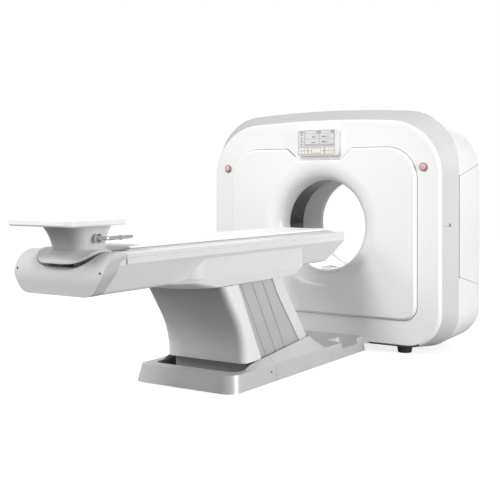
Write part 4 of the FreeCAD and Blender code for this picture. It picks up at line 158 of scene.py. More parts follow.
class BoreSizes(bpy.types.PropertyGroup):
    """Liner of the bore's rear half."""
    radius: length("Radius", "Inner radius of the liner", 0.372)
    wall: length("Wall", "Wall of the liner", 0.006)
    height: length("Height", "Bore axis above the floor", BORE_HEIGHT)
    rim: length("Rim", "Liner stops short of the rear face", 0.055)


class FootSizes(bpy.types.PropertyGroup):
    """Flowing foot of the tray's neck."""
    rim_half: length("Rim half width", "Half width of the foot's rim", 0.212)
    rim_front: length("Rim front", "Length of the rim's rounded front", 0.165)
    rim_thickness: length("Rim thickness", "Thickness of the foot's rim", 0.0115)
    bowl_floor: length("Bowl floor", "Foot's underside above the floor", 0.876)
    crease_back: length("Crease back", "Crease's middle in front of the foot's rear", 0.143)
    crease_half: length("Crease half width", "Half width at the crease", 0.133)
    crease_length: length("Crease length", "Length at the crease", 0.274)
    crease_height: length("Crease height", "Crease above the floor", 0.943)
    neck_waist: length("Neck waist", "Neck inside the crease, all round", 0.007)
    neck_lean: length("Neck lean", "Neck's top in front of its bottom", 0.016)
    socket_radius: length("Socket radius", "Radius of the handles' sockets", 0.025)
    socket_length: length("Socket length", "Both sockets, from end to end", 0.308)
    socket_height: length("Socket height", "Handles' sockets above the floor", 1.008)


class ScrewSizes(bpy.types.PropertyGroup):
    """Small socket screws that hold the covers."""
    head: length("Head", "Radius of a screw's head", 0.0062)
    rise: length("Rise", "Height of a screw's head above the cover", 0.0012)
    socket: length("Socket", "Radius of the socket in the head", 0.0028)
    cap_side: length("Cap side", "Cap's screws from the middle", 0.306)
    cap_height: length("Cap height", "Cap's screws above the floor", 0.836)
    plinth_place: length("Plinth place", "Plinth's screws along the table", -0.2056)
    plinth_height: length("Plinth height", "Plinth's screws above the floor", 0.067)


class MarkSizes(bpy.types.PropertyGroup):
    """Short printed lines in front of the cover locks."""
    ahead: length("Ahead", "Mark's middle in front of the lock's", 0.040)
    long: length("Length", "Length of a mark", 0.046)
    wide: length("Width", "Width of a mark", 0.003)
    thick: length("Thickness", "Thickness of the print", 0.0006)
    edge: length("Edge", "Rounding of the print's edge", 0.00012)


class StopSizes(bpy.types.PropertyGroup):
    """Emergency stop caps."""
    dome: length("Dome", "Rise of the cap's rounded face", 0.006)
    stem: length("Stem", "Radius of the stem behind the cap", 0.012)
    edge: length("Edge", "Rounding of the cap's rim", 0.002)


class StudioSizes(bpy.types.PropertyGroup):
    """Powers of the studio's lights, and the camera's lens and place."""
    key_power: number("Key", "Power of the high light in front", 450.0)
    low_power: number("Low", "Power of the low light at the left", 95.0)
    fill_power: number("Fill", "Power of the light at the right", 330.0)
    back_power: number("Back", "Power of the light behind", 220.0)
    air: number("Air", "Light of the surroundings on the object", 0.52)
    glow: number("Glow", "Floor's own light in the picture", 0.82)
    lens: number("Lens", "Focal length in millimetres", 66.16)
    shift: number("Shift", "Upward shift of the picture", -0.1348)
    turn: number("Turn", "Camera's turn in degrees", 33.11)
    eye_side: length("Eye side", "Camera right of the middle", 3.5715)
    eye_ahead: length("Eye ahead", "Camera in front of the gantry's back", 7.26)
    eye_height: length("Eye height", "Camera above the floor", 1.31)


# ---- Node trees ----
class Tree:
    """Adds nodes to a tree; an input is a socket to link or a value to set."""

    def __init__(self, tree):
        self.tree = tree

    def add(self, kind, inputs=None, **settings):
        """Add a node with its inputs and its own settings."""
        node = self.tree.nodes.new(kind)
        for name, value in settings.items():
            setattr(node, name, value)
        for name, value in (inputs or {}).items():
            self.feed(node.inputs[name], value)
        return node

    def feed(self, socket, value):
        """Link a socket into another, or set a plain value."""
        if isinstance(value, bpy.types.NodeSocket):
            self.tree.links.new(value, socket)
        elif socket.type == "RGBA" and len(value) == 3:
            socket.default_value = (*value, 1.0)
        else:
            socket.default_value = value

    def mix(self, factor, first, second, blend="MIX"):
        """Blend two colours."""
        node = self.add("ShaderNodeMix", data_type="RGBA", blend_type=blend)
        self.feed(node.inputs["Factor"], factor)
        self.feed(node.inputs[6], first)
        self.feed(node.inputs[7], second)
        return node.outputs[2]

    def math(self, operation, first, second=0.0):
        """One step of arithmetic on two values."""
        return self.add("ShaderNodeMath", {0: first, 1: second}, operation=operation).outputs[0]

    def place(self):
        """Place on the piece, in the piece's own space."""
        return self.add("ShaderNodeTexCoord").outputs["Object"]

    def facing(self):
        """Direction that the surface faces."""
        return self.add("ShaderNodeNewGeometry").outputs["Normal"]

    def noise(self, scale, detail):
        """Soft noise between 0 and 1 over the piece."""
        return self.add("ShaderNodeTexNoise", {"Vector": self.place(), "Scale": scale,
                                               "Detail": detail}).outputs["Fac"]

    def parts(self, vector):
        """X, Y and Z of a vector."""
        return self.add("ShaderNodeSeparateXYZ", {"Vector": vector}).outputs

    def spread(self, value, low, high, to_low=0.0, to_high=1.0):
        """A value's range stretched over another and held at its ends."""
        node = self.add("ShaderNodeMapRange", {"Value": value, "From Min": low, "From Max": high,
                                               "To Min": to_low, "To Max": to_high})
        return node.outputs["Result"]


def effect(name, inputs, outputs):
    """A shader node group with named sockets, and its tree to fill."""
    group = bpy.data.node_groups.new(name, "ShaderNodeTree")
    for title, value in inputs.items():
        kind = "NodeSocketFloat" if isinstance(value, float) else "NodeSocketColor"
        group.interface.new_socket(title, in_out="INPUT", socket_type=kind).default_value = value
    for title in outputs:
        kind = {"Color": "NodeSocketColor", "Normal": "NodeSocketVector"}.get(title, "NodeSocketFloat")
        group.interface.new_socket(title, in_out="OUTPUT", socket_type=kind)
    tree = Tree(group)
    return group, tree, tree.add("NodeGroupInput").outputs, tree.add("NodeGroupOutput").inputs


def moulding_drift():
    """Slow change of tone and gloss over a moulded or painted shell."""
    group, tree, given, put = effect(
        "moulding drift", {"Color": PALE, "Shift": 0.03, "Scale": 3.0, "Gloss": 0.25, "Gloss Shift": 0.05},
        ("Color", "Roughness"))
    slow = tree.noise(given["Scale"], 3.0)
    dark = tree.math("SUBTRACT", 1.0, given["Shift"])
    low = tree.add("ShaderNodeCombineColor", {0: dark, 1: dark, 2: dark}).outputs[0]
    shade = tree.mix(tree.spread(slow, 0.35, 0.65), (1.0, 1.0, 1.0), low)
    tree.feed(put["Color"], tree.mix(1.0, given["Color"], shade, "MULTIPLY"))
    quick = tree.spread(tree.noise(38.0, 4.0), 0.3, 0.7, -1.0, 1.0)
    swing = tree.math("MULTIPLY", quick, given["Gloss Shift"])
    tree.feed(put["Roughness"], tree.math("ADD", given["Gloss"], swing))
    return group


def fine_grain():
    """Fine pitted grain of a textured or painted skin."""
    group, tree, given, put = effect(
        "fine grain", {"Scale": 900.0, "Strength": 0.1, "Depth": 0.0002}, ("Normal",))
    bump = tree.add("ShaderNodeBump", {"Strength": given["Strength"], "Distance": given["Depth"],
                                       "Height": tree.noise(given["Scale"], 2.0)})
    tree.feed(put["Normal"], bump.outputs["Normal"])
    return group


def metal_fleck():
    """Flakes in a metallic paint, in a colour of their own."""
    group, tree, given, put = effect(
        "metal fleck", {"Color": PALE, "Fleck": PALE, "Amount": 0.3, "Scale": 700.0}, ("Color",))
    cells = tree.add("ShaderNodeTexVoronoi", {"Vector": tree.place(), "Scale": given["Scale"]})
    pick = tree.add("ShaderNodeSeparateColor", {"Color": cells.outputs["Color"]}).outputs[0]
    amount = tree.math("MULTIPLY", tree.spread(pick, 0.55, 1.0), given["Amount"])
    tree.feed(put["Color"], tree.mix(amount, given["Color"], given["Fleck"]))
    return group


def settled_dust():
    """Thin dust on faces that look up."""
    group, tree, given, put = effect("settled dust", {"Color": PALE, "Amount": 0.1}, ("Color",))
    up = tree.spread(tree.parts(tree.facing())["Z"], 0.5, 1.0)
    lying = tree.math("MULTIPLY", up, tree.spread(tree.noise(9.0, 6.0), 0.4, 0.75))
    amount = tree.math("MULTIPLY", lying, given["Amount"])
    tree.feed(put["Color"], tree.mix(amount, given["Color"], (0.62, 0.60, 0.57)))
    return group


def painted_joint_shade():
    """Paints shade on a cover past a plane, inside a box and clear of the bore, where an open joint's depth
    falls in shade.
    """
    group, tree, given, put = effect(
        "joint shade", {"Color": PALE, "Shade": PALE, "Start": 0.0, "End": 1.0, "Clear Radius": 0.0,
                        "Half Width": 9.0, "Top": 9.0}, ("Color",))
    place = tree.parts(tree.place())
    rise = tree.math("SUBTRACT", place["Z"], BORE_HEIGHT)
    away = tree.add("ShaderNodeCombineXYZ", {"X": place["X"], "Z": rise}).outputs[0]
    radius = tree.add("ShaderNodeVectorMath", {0: away}, operation="LENGTH").outputs["Value"]
    mask = tree.spread(place["Y"], given["Start"], given["End"])
    for test in (tree.math("GREATER_THAN", radius, given["Clear Radius"]),
                 tree.math("LESS_THAN", tree.math("ABSOLUTE", place["X"]), given["Half Width"]),
                 tree.math("LESS_THAN", place["Z"], given["Top"])):
        mask = tree.math("MULTIPLY", mask, test)
    tree.feed(put["Color"], tree.mix(mask, given["Color"], given["Shade"]))
    return group


def painted_under_shade():
    """Paints shade on a front-facing skin, darker towards its top, where what stands over it keeps it in
    shade.
    """
    group, tree, given, put = effect(
        "under shade", {"Color": PALE, "Low": 0.0, "High": 1.0, "Depth": 0.5}, ("Color",))
    facing = tree.spread(tree.parts(tree.facing())["Y"], -0.25, -0.90)
    rise = tree.spread(tree.parts(tree.place())["Z"], given["Low"], given["High"])
    mask = tree.math("MULTIPLY", tree.math("MULTIPLY", facing, rise), given["Depth"])
    tree.feed(put["Color"], tree.mix(mask, given["Color"], PAINTED_SHADE_TONE))
    return group


MAKERS = {"drift": moulding_drift, "grain": fine_grain, "fleck": metal_fleck, "dust": settled_dust,
          "joint": painted_joint_shade, "under": painted_under_shade}
EFFECTS = {}


def use_effect(tree, name, inputs):
    """Place a shared effect in a material; it is built the first time."""
    if name not in EFFECTS:
        EFFECTS[name] = MAKERS[name]()
    node = tree.add("ShaderNodeGroup", node_tree=EFFECTS[name])
    for title, value in inputs.items():
        tree.feed(node.inputs[title], value)
    return node.outputs


def finish(name, base, gloss=0.3, gloss_shift=0.05, shift=0.03, drift=3.0, grain=0.0, grain_scale=900.0,
           grain_depth=0.0002, fleck=None, fleck_amount=0.3, fleck_scale=700.0, dust=0.0, joint=None,
           under=None, **constants):
    """A procedural finish; `constants` go straight to the shader's own sockets."""
    material = bpy.data.materials.new(name)
    material.use_nodes = True
    tree = Tree(material.node_tree)
    shader = material.node_tree.nodes["Principled BSDF"]
    toned = use_effect(tree, "drift", {"Color": base, "Shift": shift, "Scale": drift, "Gloss": gloss,
                                       "Gloss Shift": gloss_shift})
    shown = toned["Color"]
    if fleck:
        shown = use_effect(tree, "fleck", {"Color": shown, "Fleck": fleck, "Amount": fleck_amount,
                                           "Scale": fleck_scale})["Color"]
    if dust:
        shown = use_effect(tree, "dust", {"Color": shown, "Amount": dust})["Color"]
    # painted shade in the depth of open joints
    if joint:
        shown = use_effect(tree, "joint", {"Color": shown, **joint})["Color"]
    # painted shade on front-facing skins, darker towards their top
    if under:
        shown = use_effect(tree, "under", {"Color": shown, **under})["Color"]
    tree.feed(shader.inputs["Base Color"], shown)
    tree.feed(shader.inputs["Roughness"], toned["Roughness"])
    if grain:
        skin = use_effect(tree, "grain", {"Scale": grain_scale, "Strength": grain, "Depth": grain_depth})
        tree.feed(shader.inputs["Normal"], skin["Normal"])
    for title, value in constants.items():
        shader.inputs[title.replace("_", " ").title()].default_value = value
    return material


def dress(material, *names):
    """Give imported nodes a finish."""
    for name in names:
        mesh = NODES[name].data
        mesh.materials.clear()
        mesh.materials.append(material)
        for face in mesh.polygons:
            face.material_index = 0


# ---- Modelling helpers ----
def deselect():
    """Let go of every piece."""
    for obj in bpy.context.view_layer.objects:
        obj.select_set(False)


def activate(obj):
    """Select one piece alone."""
    deselect()
    obj.select_set(True)
    bpy.context.view_layer.objects.active = obj


def settle(obj):
    """Put the piece's place into its mesh."""
    activate(obj)
    bpy.ops.object.transform_apply(location=True, rotation=True, scale=True)


def join(parts, name):
    """Make one piece of several and name it."""
    deselect()
    for part in parts:
        part.select_set(True)
    bpy.context.view_layer.objects.active = parts[0]
    if len(parts) > 1:
        bpy.ops.object.join()
    obj = bpy.context.view_layer.objects.active
    obj.name = obj.data.name = name
    settle(obj)
    return obj


def add_modifier(obj, kind, **settings):
    """Add a modifier, set it and apply it."""
    activate(obj)
    modifier = obj.modifiers.new(kind.title(), kind)
    for name, value in settings.items():
        setattr(modifier, name, value)
    bpy.ops.object.modifier_apply(modifier=modifier.name)


def round_edges(obj, width, **settings):
    """Round the sharp edges of a piece."""
    add_modifier(obj, "BEVEL", width=width, limit_method="ANGLE", **{"segments": 2, **settings})


def block(low, high, bevel=0.0):
    """A box between two corners with rounded edges."""
    middle = [(a + b) / 2 for a, b in zip(low, high)]
    size = [b - a for a, b in zip(low, high)]
    bpy.ops.mesh.primitive_cube_add(size=1, location=middle, scale=size)
    obj = bpy.context.object
    settle(obj)
    if bevel:
        round_edges(obj, bevel)
    return obj


def tile(start, span, place, front, back, bevel=0.0):
    """A flat block over shares of a field; `place` is left, right, bottom and top."""
    left, right, bottom, top = place
    return block((start.x + left * span.x, front, start.z + bottom * span.z),
                 (start.x + right * span.x, back, start.z + top * span.z), bevel)


def disc(radius, depth, middle, towards, corners):
    """A round bar of one face per side, standing along `towards`."""
    bpy.ops.mesh.primitive_cylinder_add(vertices=corners, radius=radius, depth=depth, location=middle,
                                        rotation=Vector(towards).to_track_quat("Z", "Y").to_euler())
    obj = bpy.context.object
    settle(obj)
    return obj


def edit_whole(obj, work, **settings):
    """Run one mesh operator on the whole of a piece."""
    activate(obj)
    bpy.ops.object.mode_set(mode="EDIT")
    bpy.ops.mesh.select_all(action="SELECT")
    work(**settings)
    bpy.ops.object.mode_set(mode="OBJECT")


def end_face(obj, towards):
    """The face that lies farthest along `towards`."""
    towards = Vector(towards)
    return max(obj.data.polygons, key=lambda face: face.center.dot(towards) + face.normal.dot(towards)).index


def edit_face(obj, index):
    """Enter edit mode with one face selected."""
    activate(obj)
    bpy.ops.object.mode_set(mode="EDIT")
    bpy.ops.mesh.select_mode(type="FACE")
    bpy.ops.mesh.select_all(action="DESELECT")
    bpy.ops.object.mode_set(mode="OBJECT")
    obj.data.polygons[index].select = True
    bpy.ops.object.mode_set(mode="EDIT")


def inset_face(obj, index, thickness, rise):
    """Inset a face and raise it; the inner face's number comes back."""
    edit_face(obj, index)
    bpy.ops.mesh.inset(thickness=thickness, depth=rise)
    bpy.ops.object.mode_set(mode="OBJECT")
    return next(face.index for face in obj.data.polygons if face.select)


def extrude_face(obj, index, move):
    """Pull a face out along a move."""
    edit_face(obj, index)
    bpy.ops.mesh.extrude_region_move(TRANSFORM_OT_translate={"value": move})
    bpy.ops.object.mode_set(mode="OBJECT")


def smooth(obj, degrees):
    """Smooth shading, broken at edges sharper than an angle."""
    activate(obj)
    bpy.ops.object.shade_smooth_by_angle(angle=math.radians(degrees))


def moved_copy(obj, move):
    """A copy with its own mesh, moved."""
    copy = obj.copy()
    copy.data = obj.data.copy()
    bpy.context.scene.collection.objects.link(copy)
    activate(copy)
    bpy.ops.transform.translate(value=move)
    settle(copy)
    return copy


def paint(obj, material):
    """Give a modelled piece its one finish."""
    obj.data.materials.clear()
    obj.data.materials.append(material)


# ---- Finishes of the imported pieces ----
class GantryCovers(bpy.types.Operator):
    """Finish the gantry's covers, band, scan window and feet"""
    bl_idname = "ct_scanner.gantry_covers"
    bl_label = "Gantry covers"

    def execute(self, context):
        looks = context.scene.scanner_finishes
        white = tuple(looks.gantry_white)
        # a darker copy of the gantry white paints shade on the rear covers
        rear_shaded_white = tuple(c * 0.98 for c in white)
        gloss = dict(gloss=0.24, gloss_shift=0.03, shift=0.012, grain=0.02, grain_scale=160.0,
                     coat_weight=0.25, coat_roughness=0.08)
        satin = dict(gloss=0.32, shift=0.015, **MOULDED)
        dress(finish("gantry gloss white", white, dust=0.03, **gloss), "lower_front_panel")
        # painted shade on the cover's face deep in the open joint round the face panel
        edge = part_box("front_cover")[0].y
        joint = {"Shade": PAINTED_SHADE_TONE, "Start": edge + 0.0010, "End": edge + 0.0025, "Half Width": 0.850,
                 "Top": 1.610}
        dress(finish("front cover gloss white", white, dust=0.03, joint=joint, **gloss), "front_cover")
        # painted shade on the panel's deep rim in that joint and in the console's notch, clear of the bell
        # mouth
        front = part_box("front_face_panel")[0].y
        joint = {"Shade": PAINTED_SHADE_TONE, "Start": front + 0.030, "End": front + 0.034, "Clear Radius": 0.60}
        dress(finish("panel gloss white", white, joint=joint, **gloss), "front_face_panel")
        dress(finish("gantry rear white", rear_shaded_white, dust=0.03, **satin), "rear_cover")
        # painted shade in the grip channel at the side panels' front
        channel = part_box("rear_side_panel_right")[0].y
        joint = {"Shade": (0.16, 0.16, 0.16), "Start": channel + 0.035, "End": channel + 0.010}
        dress(finish("side panel white", rear_shaded_white, joint=joint, **satin),
              "rear_side_panel_left", "rear_side_panel_right")
        dress(finish("band silver paint", tuple(looks.band_silver), gloss=0.50, shift=0.03,
                     fleck=(0.86, 0.86, 0.87), fleck_amount=0.22, fleck_scale=900.0, grain=0.06,
                     grain_scale=1400.0), "side_band")
        dress(finish("scan window film", (0.024, 0.024, 0.025), gloss=0.2, shift=0.1, gloss_shift=0.04,
                     coat_weight=0.4, coat_roughness=0.05), "scan_window_ring")
        dress(finish("foot rubber", (0.035, 0.034, 0.034), gloss=0.62, shift=0.25, grain=0.4,
                     grain_scale=500.0, dust=0.3), "levelling_feet")
        dress(finish("lock steel", (0.55, 0.55, 0.56), gloss=0.3, grain=0.2, grain_scale=1500.0,
                     metallic=1.0), "cover_lock_left", "cover_lock_right")
        return {"FINISHED"}


class ConsoleBody(bpy.types.Operator):
    """Finish the console's housing, glass, keypad and stop collars"""
    bl_idname = "ct_scanner.console_body"
    bl_label = "Console body"

    def execute(self, context):
        dress(finish("console housing", (0.80, 0.80, 0.80), gloss=0.38, grain=0.08, grain_scale=1200.0),
              "console_housing")
        dress(finish("display glass", (0.50, 0.51, 0.53), gloss=0.12, gloss_shift=0.02, shift=0.05,
                     drift=12.0, coat_weight=0.8, coat_roughness=0.03), "display_screen")
        dress(finish("keypad membrane", (0.56, 0.53, 0.48), gloss=0.45, shift=0.04, drift=20.0, grain=0.15,
                     grain_scale=1600.0), "keypad")
        dress(finish("stop collar", (0.26, 0.25, 0.25), gloss=0.35, grain=0.15, grain_scale=1600.0),
              "estop_collars")
        return {"FINISHED"}


class GantryInside(bpy.types.Operator):
    """Finish the frame, bearing, drive and X-ray assembly inside the gantry"""
    bl_idname = "ct_scanner.gantry_inside"
    bl_label = "Gantry inside"

    def execute(self, context):
        dress(finish("frame enamel", (0.12, 0.135, 0.15), gloss=0.42, shift=0.12, drift=6.0, grain=0.3,
                     grain_scale=320.0, dust=0.25), "gantry_frame", "base_frame", "table_frame",
              "front_lift_arm", "rear_lift_arm")
        dress(finish("machined steel", (0.50, 0.50, 0.51), gloss=0.28, shift=0.08, drift=18.0, grain=0.25,
                     grain_scale=1100.0, metallic=1.0),
              "bearing_outer_race", "bearing_inner_race", "motor_pulley", "base_shafts", "lift_ram_rod",
              "lift_ram_housing", "collimator", "slip_ring")
        dress(finish("cast aluminium", (0.60, 0.605, 0.61), gloss=0.45, shift=0.08, drift=9.0, grain=0.5,
                     grain_scale=420.0, metallic=0.9),
              "rotor_disc", "xray_tube", "detector_arc", "heat_exchanger")
        dress(finish("case enamel", (0.32, 0.34, 0.36), gloss=0.4, shift=0.06, grain=0.25, grain_scale=600.0),
              "high_voltage_generator", "data_power_box", "drive_motor", "brush_block")
        dress(finish("belt rubber", (0.03, 0.03, 0.03), gloss=0.7, shift=0.2, grain=0.5, grain_scale=700.0),
              "drive_belt")
        return {"FINISHED"}


class TableShells(bpy.types.Operator):
    """Finish the table's shells, cap, cradle, tray and handles"""
    bl_idname = "ct_scanner.table_shells"
    bl_label = "Table shells"

    def execute(self, context):
        looks = context.scene.scanner_finishes
        white = tuple(looks.table_white)
        dress(finish("table shell white", white, gloss=0.36, shift=0.015, **MOULDED),
              "boat_shell", "saddle_fairing")
        # a lighter copy of the table white paints light on the deck's rail
        dress(finish("rail white", tuple(c * 1.03 for c in white), gloss=0.40, gloss_shift=0.02,
                     shift=0.012, grain=0.02, grain_scale=260.0), "table_deck")
        dress(finish("cap silver paint", tuple(looks.cap_silver), gloss=0.62, shift=0.04,
                     fleck=(0.82, 0.82, 0.83), fleck_amount=0.30, fleck_scale=650.0, grain=0.20,
                     grain_scale=900.0), "foot_end_cap")
        dress(finish("tray white", (0.90, 0.90, 0.90), gloss=0.30, shift=0.01, **MOULDED), "tray")
        dress(finish("cradle composite", (0.62, 0.62, 0.62), gloss=0.4, shift=0.05, grain=0.2,
                     grain_scale=800.0), "cradle_shell")
        dress(finish("polished chrome", (0.80, 0.80, 0.81), gloss=0.08, gloss_shift=0.02, shift=0.05,
                     drift=20.0, metallic=1.0), "handle_left", "handle_right")
        return {"FINISHED"}


class PedestalCovers(bpy.types.Operator):
    """Finish the pedestal's covers, slats and plinth"""
    bl_idname = "ct_scanner.pedestal_covers"
    bl_label = "Pedestal covers"

    def execute(self, context):
        looks = context.scene.scanner_finishes
        white = tuple(looks.table_white)
        satin = dict(gloss=0.42, shift=0.015, **MOULDED)
        dress(finish("pedestal white", white, **satin), "rear_pedestal_cover")
        # painted shade darkens the pedestal's front skin towards its top under the table; its lighter copy of
        # the table white paints light on the lower part
        under = {"Low": 0.20, "High": 0.66, "Depth": 0.72}
        dress(finish("pedestal front white", tuple(c * 1.15 for c in white), under=under, **satin),
              "front_pedestal_cover")
        dress(finish("slat grey paint", tuple(looks.slat_grey), gloss=0.42, shift=0.03, grain=0.18,
                     grain_scale=1100.0, metallic=0.1),
              *["side_slat_%d" % slat for slat in range(1, 5)])
        dress(finish("plinth silver paint", tuple(looks.plinth_silver), gloss=0.4, shift=0.04,
                     fleck=(0.8, 0.8, 0.81), fleck_amount=0.35, fleck_scale=650.0, grain=0.25,
                     grain_scale=900.0, metallic=0.2, dust=0.05),
              "plinth_foot_cover", "plinth_middle_cover", "plinth_rear_cover", "pedestal_kick_panel")
        return {"FINISHED"}


# ---- Pieces modelled here ----
class StopCaps(bpy.types.Operator):
    """Model the domed emergency stop caps"""
    bl_idname = "ct_scanner.stop_caps"
    bl_label = "Emergency stop caps"

    def execute(self, context):
        sizes = context.scene.scanner_stops
        material = finish("stop cap red", tuple(context.scene.scanner_finishes.stop_red), gloss=0.30,
                          shift=0.04, drift=30.0, grain=0.05, grain_scale=900.0, coat_weight=0.3)
        for side in ("left", "right"):
            node = "estop_button_" + side
            low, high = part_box(node)
            middle = middle_of(node)
            radius = (high.x - low.x) / 2
            depth = high.y - low.y
            skirt = depth * 0.4
            cap = disc(radius, skirt, (middle.x, low.y + sizes.dome + skirt / 2, middle.z), (0, -1, 0), 48)
            front = end_face(cap, (0, -1, 0))
            steps = 6
            crown = radius * 0.92
            for step in range(steps):
                before = math.radians(90 * step / steps)
                after = math.radians(90 * (step + 1) / steps)
                front = inset_face(cap, front, crown * (math.cos(before) - math.cos(after)),
                                   sizes.dome * (math.sin(after) - math.sin(before)))
            back = inset_face(cap, end_face(cap, (0, 1, 0)), radius - sizes.stem, 0.0)
            extrude_face(cap, back, (0, depth - skirt - sizes.dome, 0))
            round_edges(cap, sizes.edge, segments=3, angle_limit=math.radians(50))
            smooth(cap, 40)
            cap.name = cap.data.name = "stop_cap_" + side
            paint(cap, material)
            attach(cap, "stop_" + side)
            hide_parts(node)
        return {"FINISHED"}


class BoreLiner(bpy.types.Operator):
    """Line the rear half of the bore between the scan window and the rear rim"""
    bl_idname = "ct_scanner.bore_liner"
    bl_label = "Bore liner"

    def execute(self, context):
        sizes = context.scene.scanner_bore
        gap = 0.0004
        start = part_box("scan_window_ring")[1].y + gap
        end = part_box("rear_cover")[1].y - sizes.rim
        bpy.ops.mesh.primitive_cylinder_add(vertices=160, radius=sizes.radius, depth=end - start,
                                            end_fill_type="NOTHING", rotation=(math.radians(90), 0, 0),
                                            location=(0, (start + end) / 2, sizes.height))
        tube = bpy.context.object
        settle(tube)
        edit_whole(tube, bpy.ops.mesh.normals_make_consistent, inside=False)
        add_modifier(tube, "SOLIDIFY", thickness=sizes.wall, offset=1.0)
        round_edges(tube, 0.0008)
        smooth(tube, 40)
        tube.name = tube.data.name = "rear_bore_liner"
        white = tuple(context.scene.scanner_finishes.gantry_white)
        paint(tube, finish("bore liner grey", tuple(c * 0.72 for c in white), gloss=0.34, shift=0.03,
                           **MOULDED))
        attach(tube, "base")
        return {"FINISHED"}


class TrayFoot(bpy.types.Operator):
    """Form the tray's flowing foot and neck over the bowl of the foot-end cap"""
    bl_idname = "ct_scanner.tray_foot"
    bl_label = "Tray foot"

    # squareness of the outlines: 2 is an ellipse, more is squarer
    rim_square = 2.5
    neck_square = 3.0
    # how late a rise or a spread comes: 1 is straight
    rise_power = 1.35
    neck_power = 2.2
    # underside: half width of its flat middle, and radius of its raised sides
    bowl_flat = 0.090
    bowl_round = 0.148
    # two runners under the foot: place from the middle, half width, and distance from each end
    runner_middle = 0.062
    runner_half = 0.025
    runner_front = 0.112
    runner_rear = 0.022

    def execute(self, context):
        sizes = context.scene.scanner_foot
        low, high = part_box("tray_pedestal")
        crease_y = high.y - sizes.crease_back
        crease_long = sizes.crease_length / 2
        rings = []
        # underside, from the middle out to the rim
        for share in (0.25, 0.5, 0.75, 0.95):
            rings.append([(x, y, self.bowl(sizes, x)) for x, y in self.rim(sizes, low, high, share)])
        # rounded edge of the rim, from its underside up
        for drop in (0.0, 0.003, 0.008, 0.011):
            grow = 1.0 - abs(drop - 0.006)
            rings.append([(x, y, self.bowl(sizes, x) + drop) for x, y in self.rim(sizes, low, high, grow)])
        # flare from the rim up to the crease
        crease = self.oval(crease_y, sizes.crease_half, crease_long, crease_long, self.neck_square)
        for step in range(1, 11):
            run = step / 10
            rise = run ** self.rise_power
            ring = []
            for (x, y), (cx, cy) in zip(self.rim(sizes, low, high, 0.988), crease):
                base = self.bowl(sizes, x) + sizes.rim_thickness
                ring.append((x + (cx - x) * run, y + (cy - y) * run,
                             base + (sizes.crease_height - base) * rise))
            rings.append(ring)
        # neck, waisted above the crease and spread under the tray, with its straight and its curved gain
        wider, longer = (0.005, 0.034), (0.012, 0.036)
        for step in range(0, 15):
            run = step / 14
            spread = run ** self.neck_power
            half = sizes.crease_half - sizes.neck_waist + wider[0] * run + wider[1] * spread
            long = crease_long - sizes.neck_waist + longer[0] * run + longer[1] * spread
            z = sizes.crease_height + (high.z - sizes.crease_height) * run
            rings.append([(x, y, z) for x, y in self.oval(crease_y - sizes.neck_lean * run, half, long, long,
                                                          self.neck_square)])
        # runners and handles' sockets, sunk into the foot
        sink, bevel = 0.004, 0.002
        parts = [self.skin(rings, "tray_foot")]
        for side in (-1, 1):
            middle = side * self.runner_middle
            parts.append(block((middle - self.runner_half, low.y + self.runner_front, low.z),
                               (middle + self.runner_half, high.y - self.runner_rear,
                                self.bowl(sizes, 0) + sink), bevel))
        socket_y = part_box("handle_left")[0].y + sizes.socket_radius
        parts.append(disc(sizes.socket_radius, sizes.socket_length, (0, socket_y, sizes.socket_height),
                          (1, 0, 0), 40))
        foot = join(parts, "tray_foot")
        smooth(foot, 38)
        # painted shade on the neck, darker towards its top under the tray
        paint(foot, finish("neck silver paint", tuple(context.scene.scanner_finishes.neck_silver),
                           gloss=0.40, gloss_shift=0.03, shift=0.03, fleck=(0.84, 0.84, 0.85),
                           fleck_amount=0.2, fleck_scale=900.0, grain=0.06, grain_scale=1200.0,
                           under={"Low": 0.935, "High": 1.075, "Depth": 0.80}))
        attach(foot, "cradle")
        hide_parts("tray_pedestal")
        return {"FINISHED"}

    @classmethod
    def bowl(cls, sizes, x):
        """Height of the foot's underside over the cap's bowl."""
        radius = cls.bowl_round
        away = min(max(abs(x) - cls.bowl_flat, 0.0), radius * 0.98)
        return sizes.bowl_floor + radius - math.sqrt(radius * radius - away * away)

    @staticmethod
    def oval(y, half, front, rear, square, count=96):
        """Squared oval about a middle on the table's middle line; `square` 2 is an ellipse."""
        points = []
        for step in range(count):
            turn = math.tau * step / count
            c, s = math.cos(turn), math.sin(turn)
            points.append((half * math.copysign(abs(c) ** (2 / square), c),
                           y + (rear if s > 0 else front) * math.copysign(abs(s) ** (2 / square), s)))
        return points

    @classmethod
    def rim(cls, sizes, low, high, share):
        """Outline of the foot's rim, drawn in to a share of its size."""
        middle = low.y + sizes.rim_front
        ring = cls.oval(middle, sizes.rim_half, sizes.rim_front, high.y - middle, cls.rim_square)
        return [(x * share, middle + (y - middle) * share) for x, y in ring]

    @staticmethod
    def skin(rings, name):
        """Closed skin through rings of equal counts."""
        count = len(rings[0])
        faces = [tuple(reversed(range(count)))]
        for level in range(len(rings) - 1):
            for i in range(count):
                j = (i + 1) % count
                lower, upper = level * count, (level + 1) * count
                faces.append((lower + i, lower + j, upper + j, upper + i))
        faces.append(tuple((len(rings) - 1) * count + i for i in range(count)))
        mesh = bpy.data.meshes.new(name)
        mesh.from_pydata([point for ring in rings for point in ring], [], faces)
        obj = bpy.data.objects.new(name, mesh)
        bpy.context.scene.collection.objects.link(obj)
        edit_whole(obj, bpy.ops.mesh.normals_make_consistent, inside=False)
        return obj


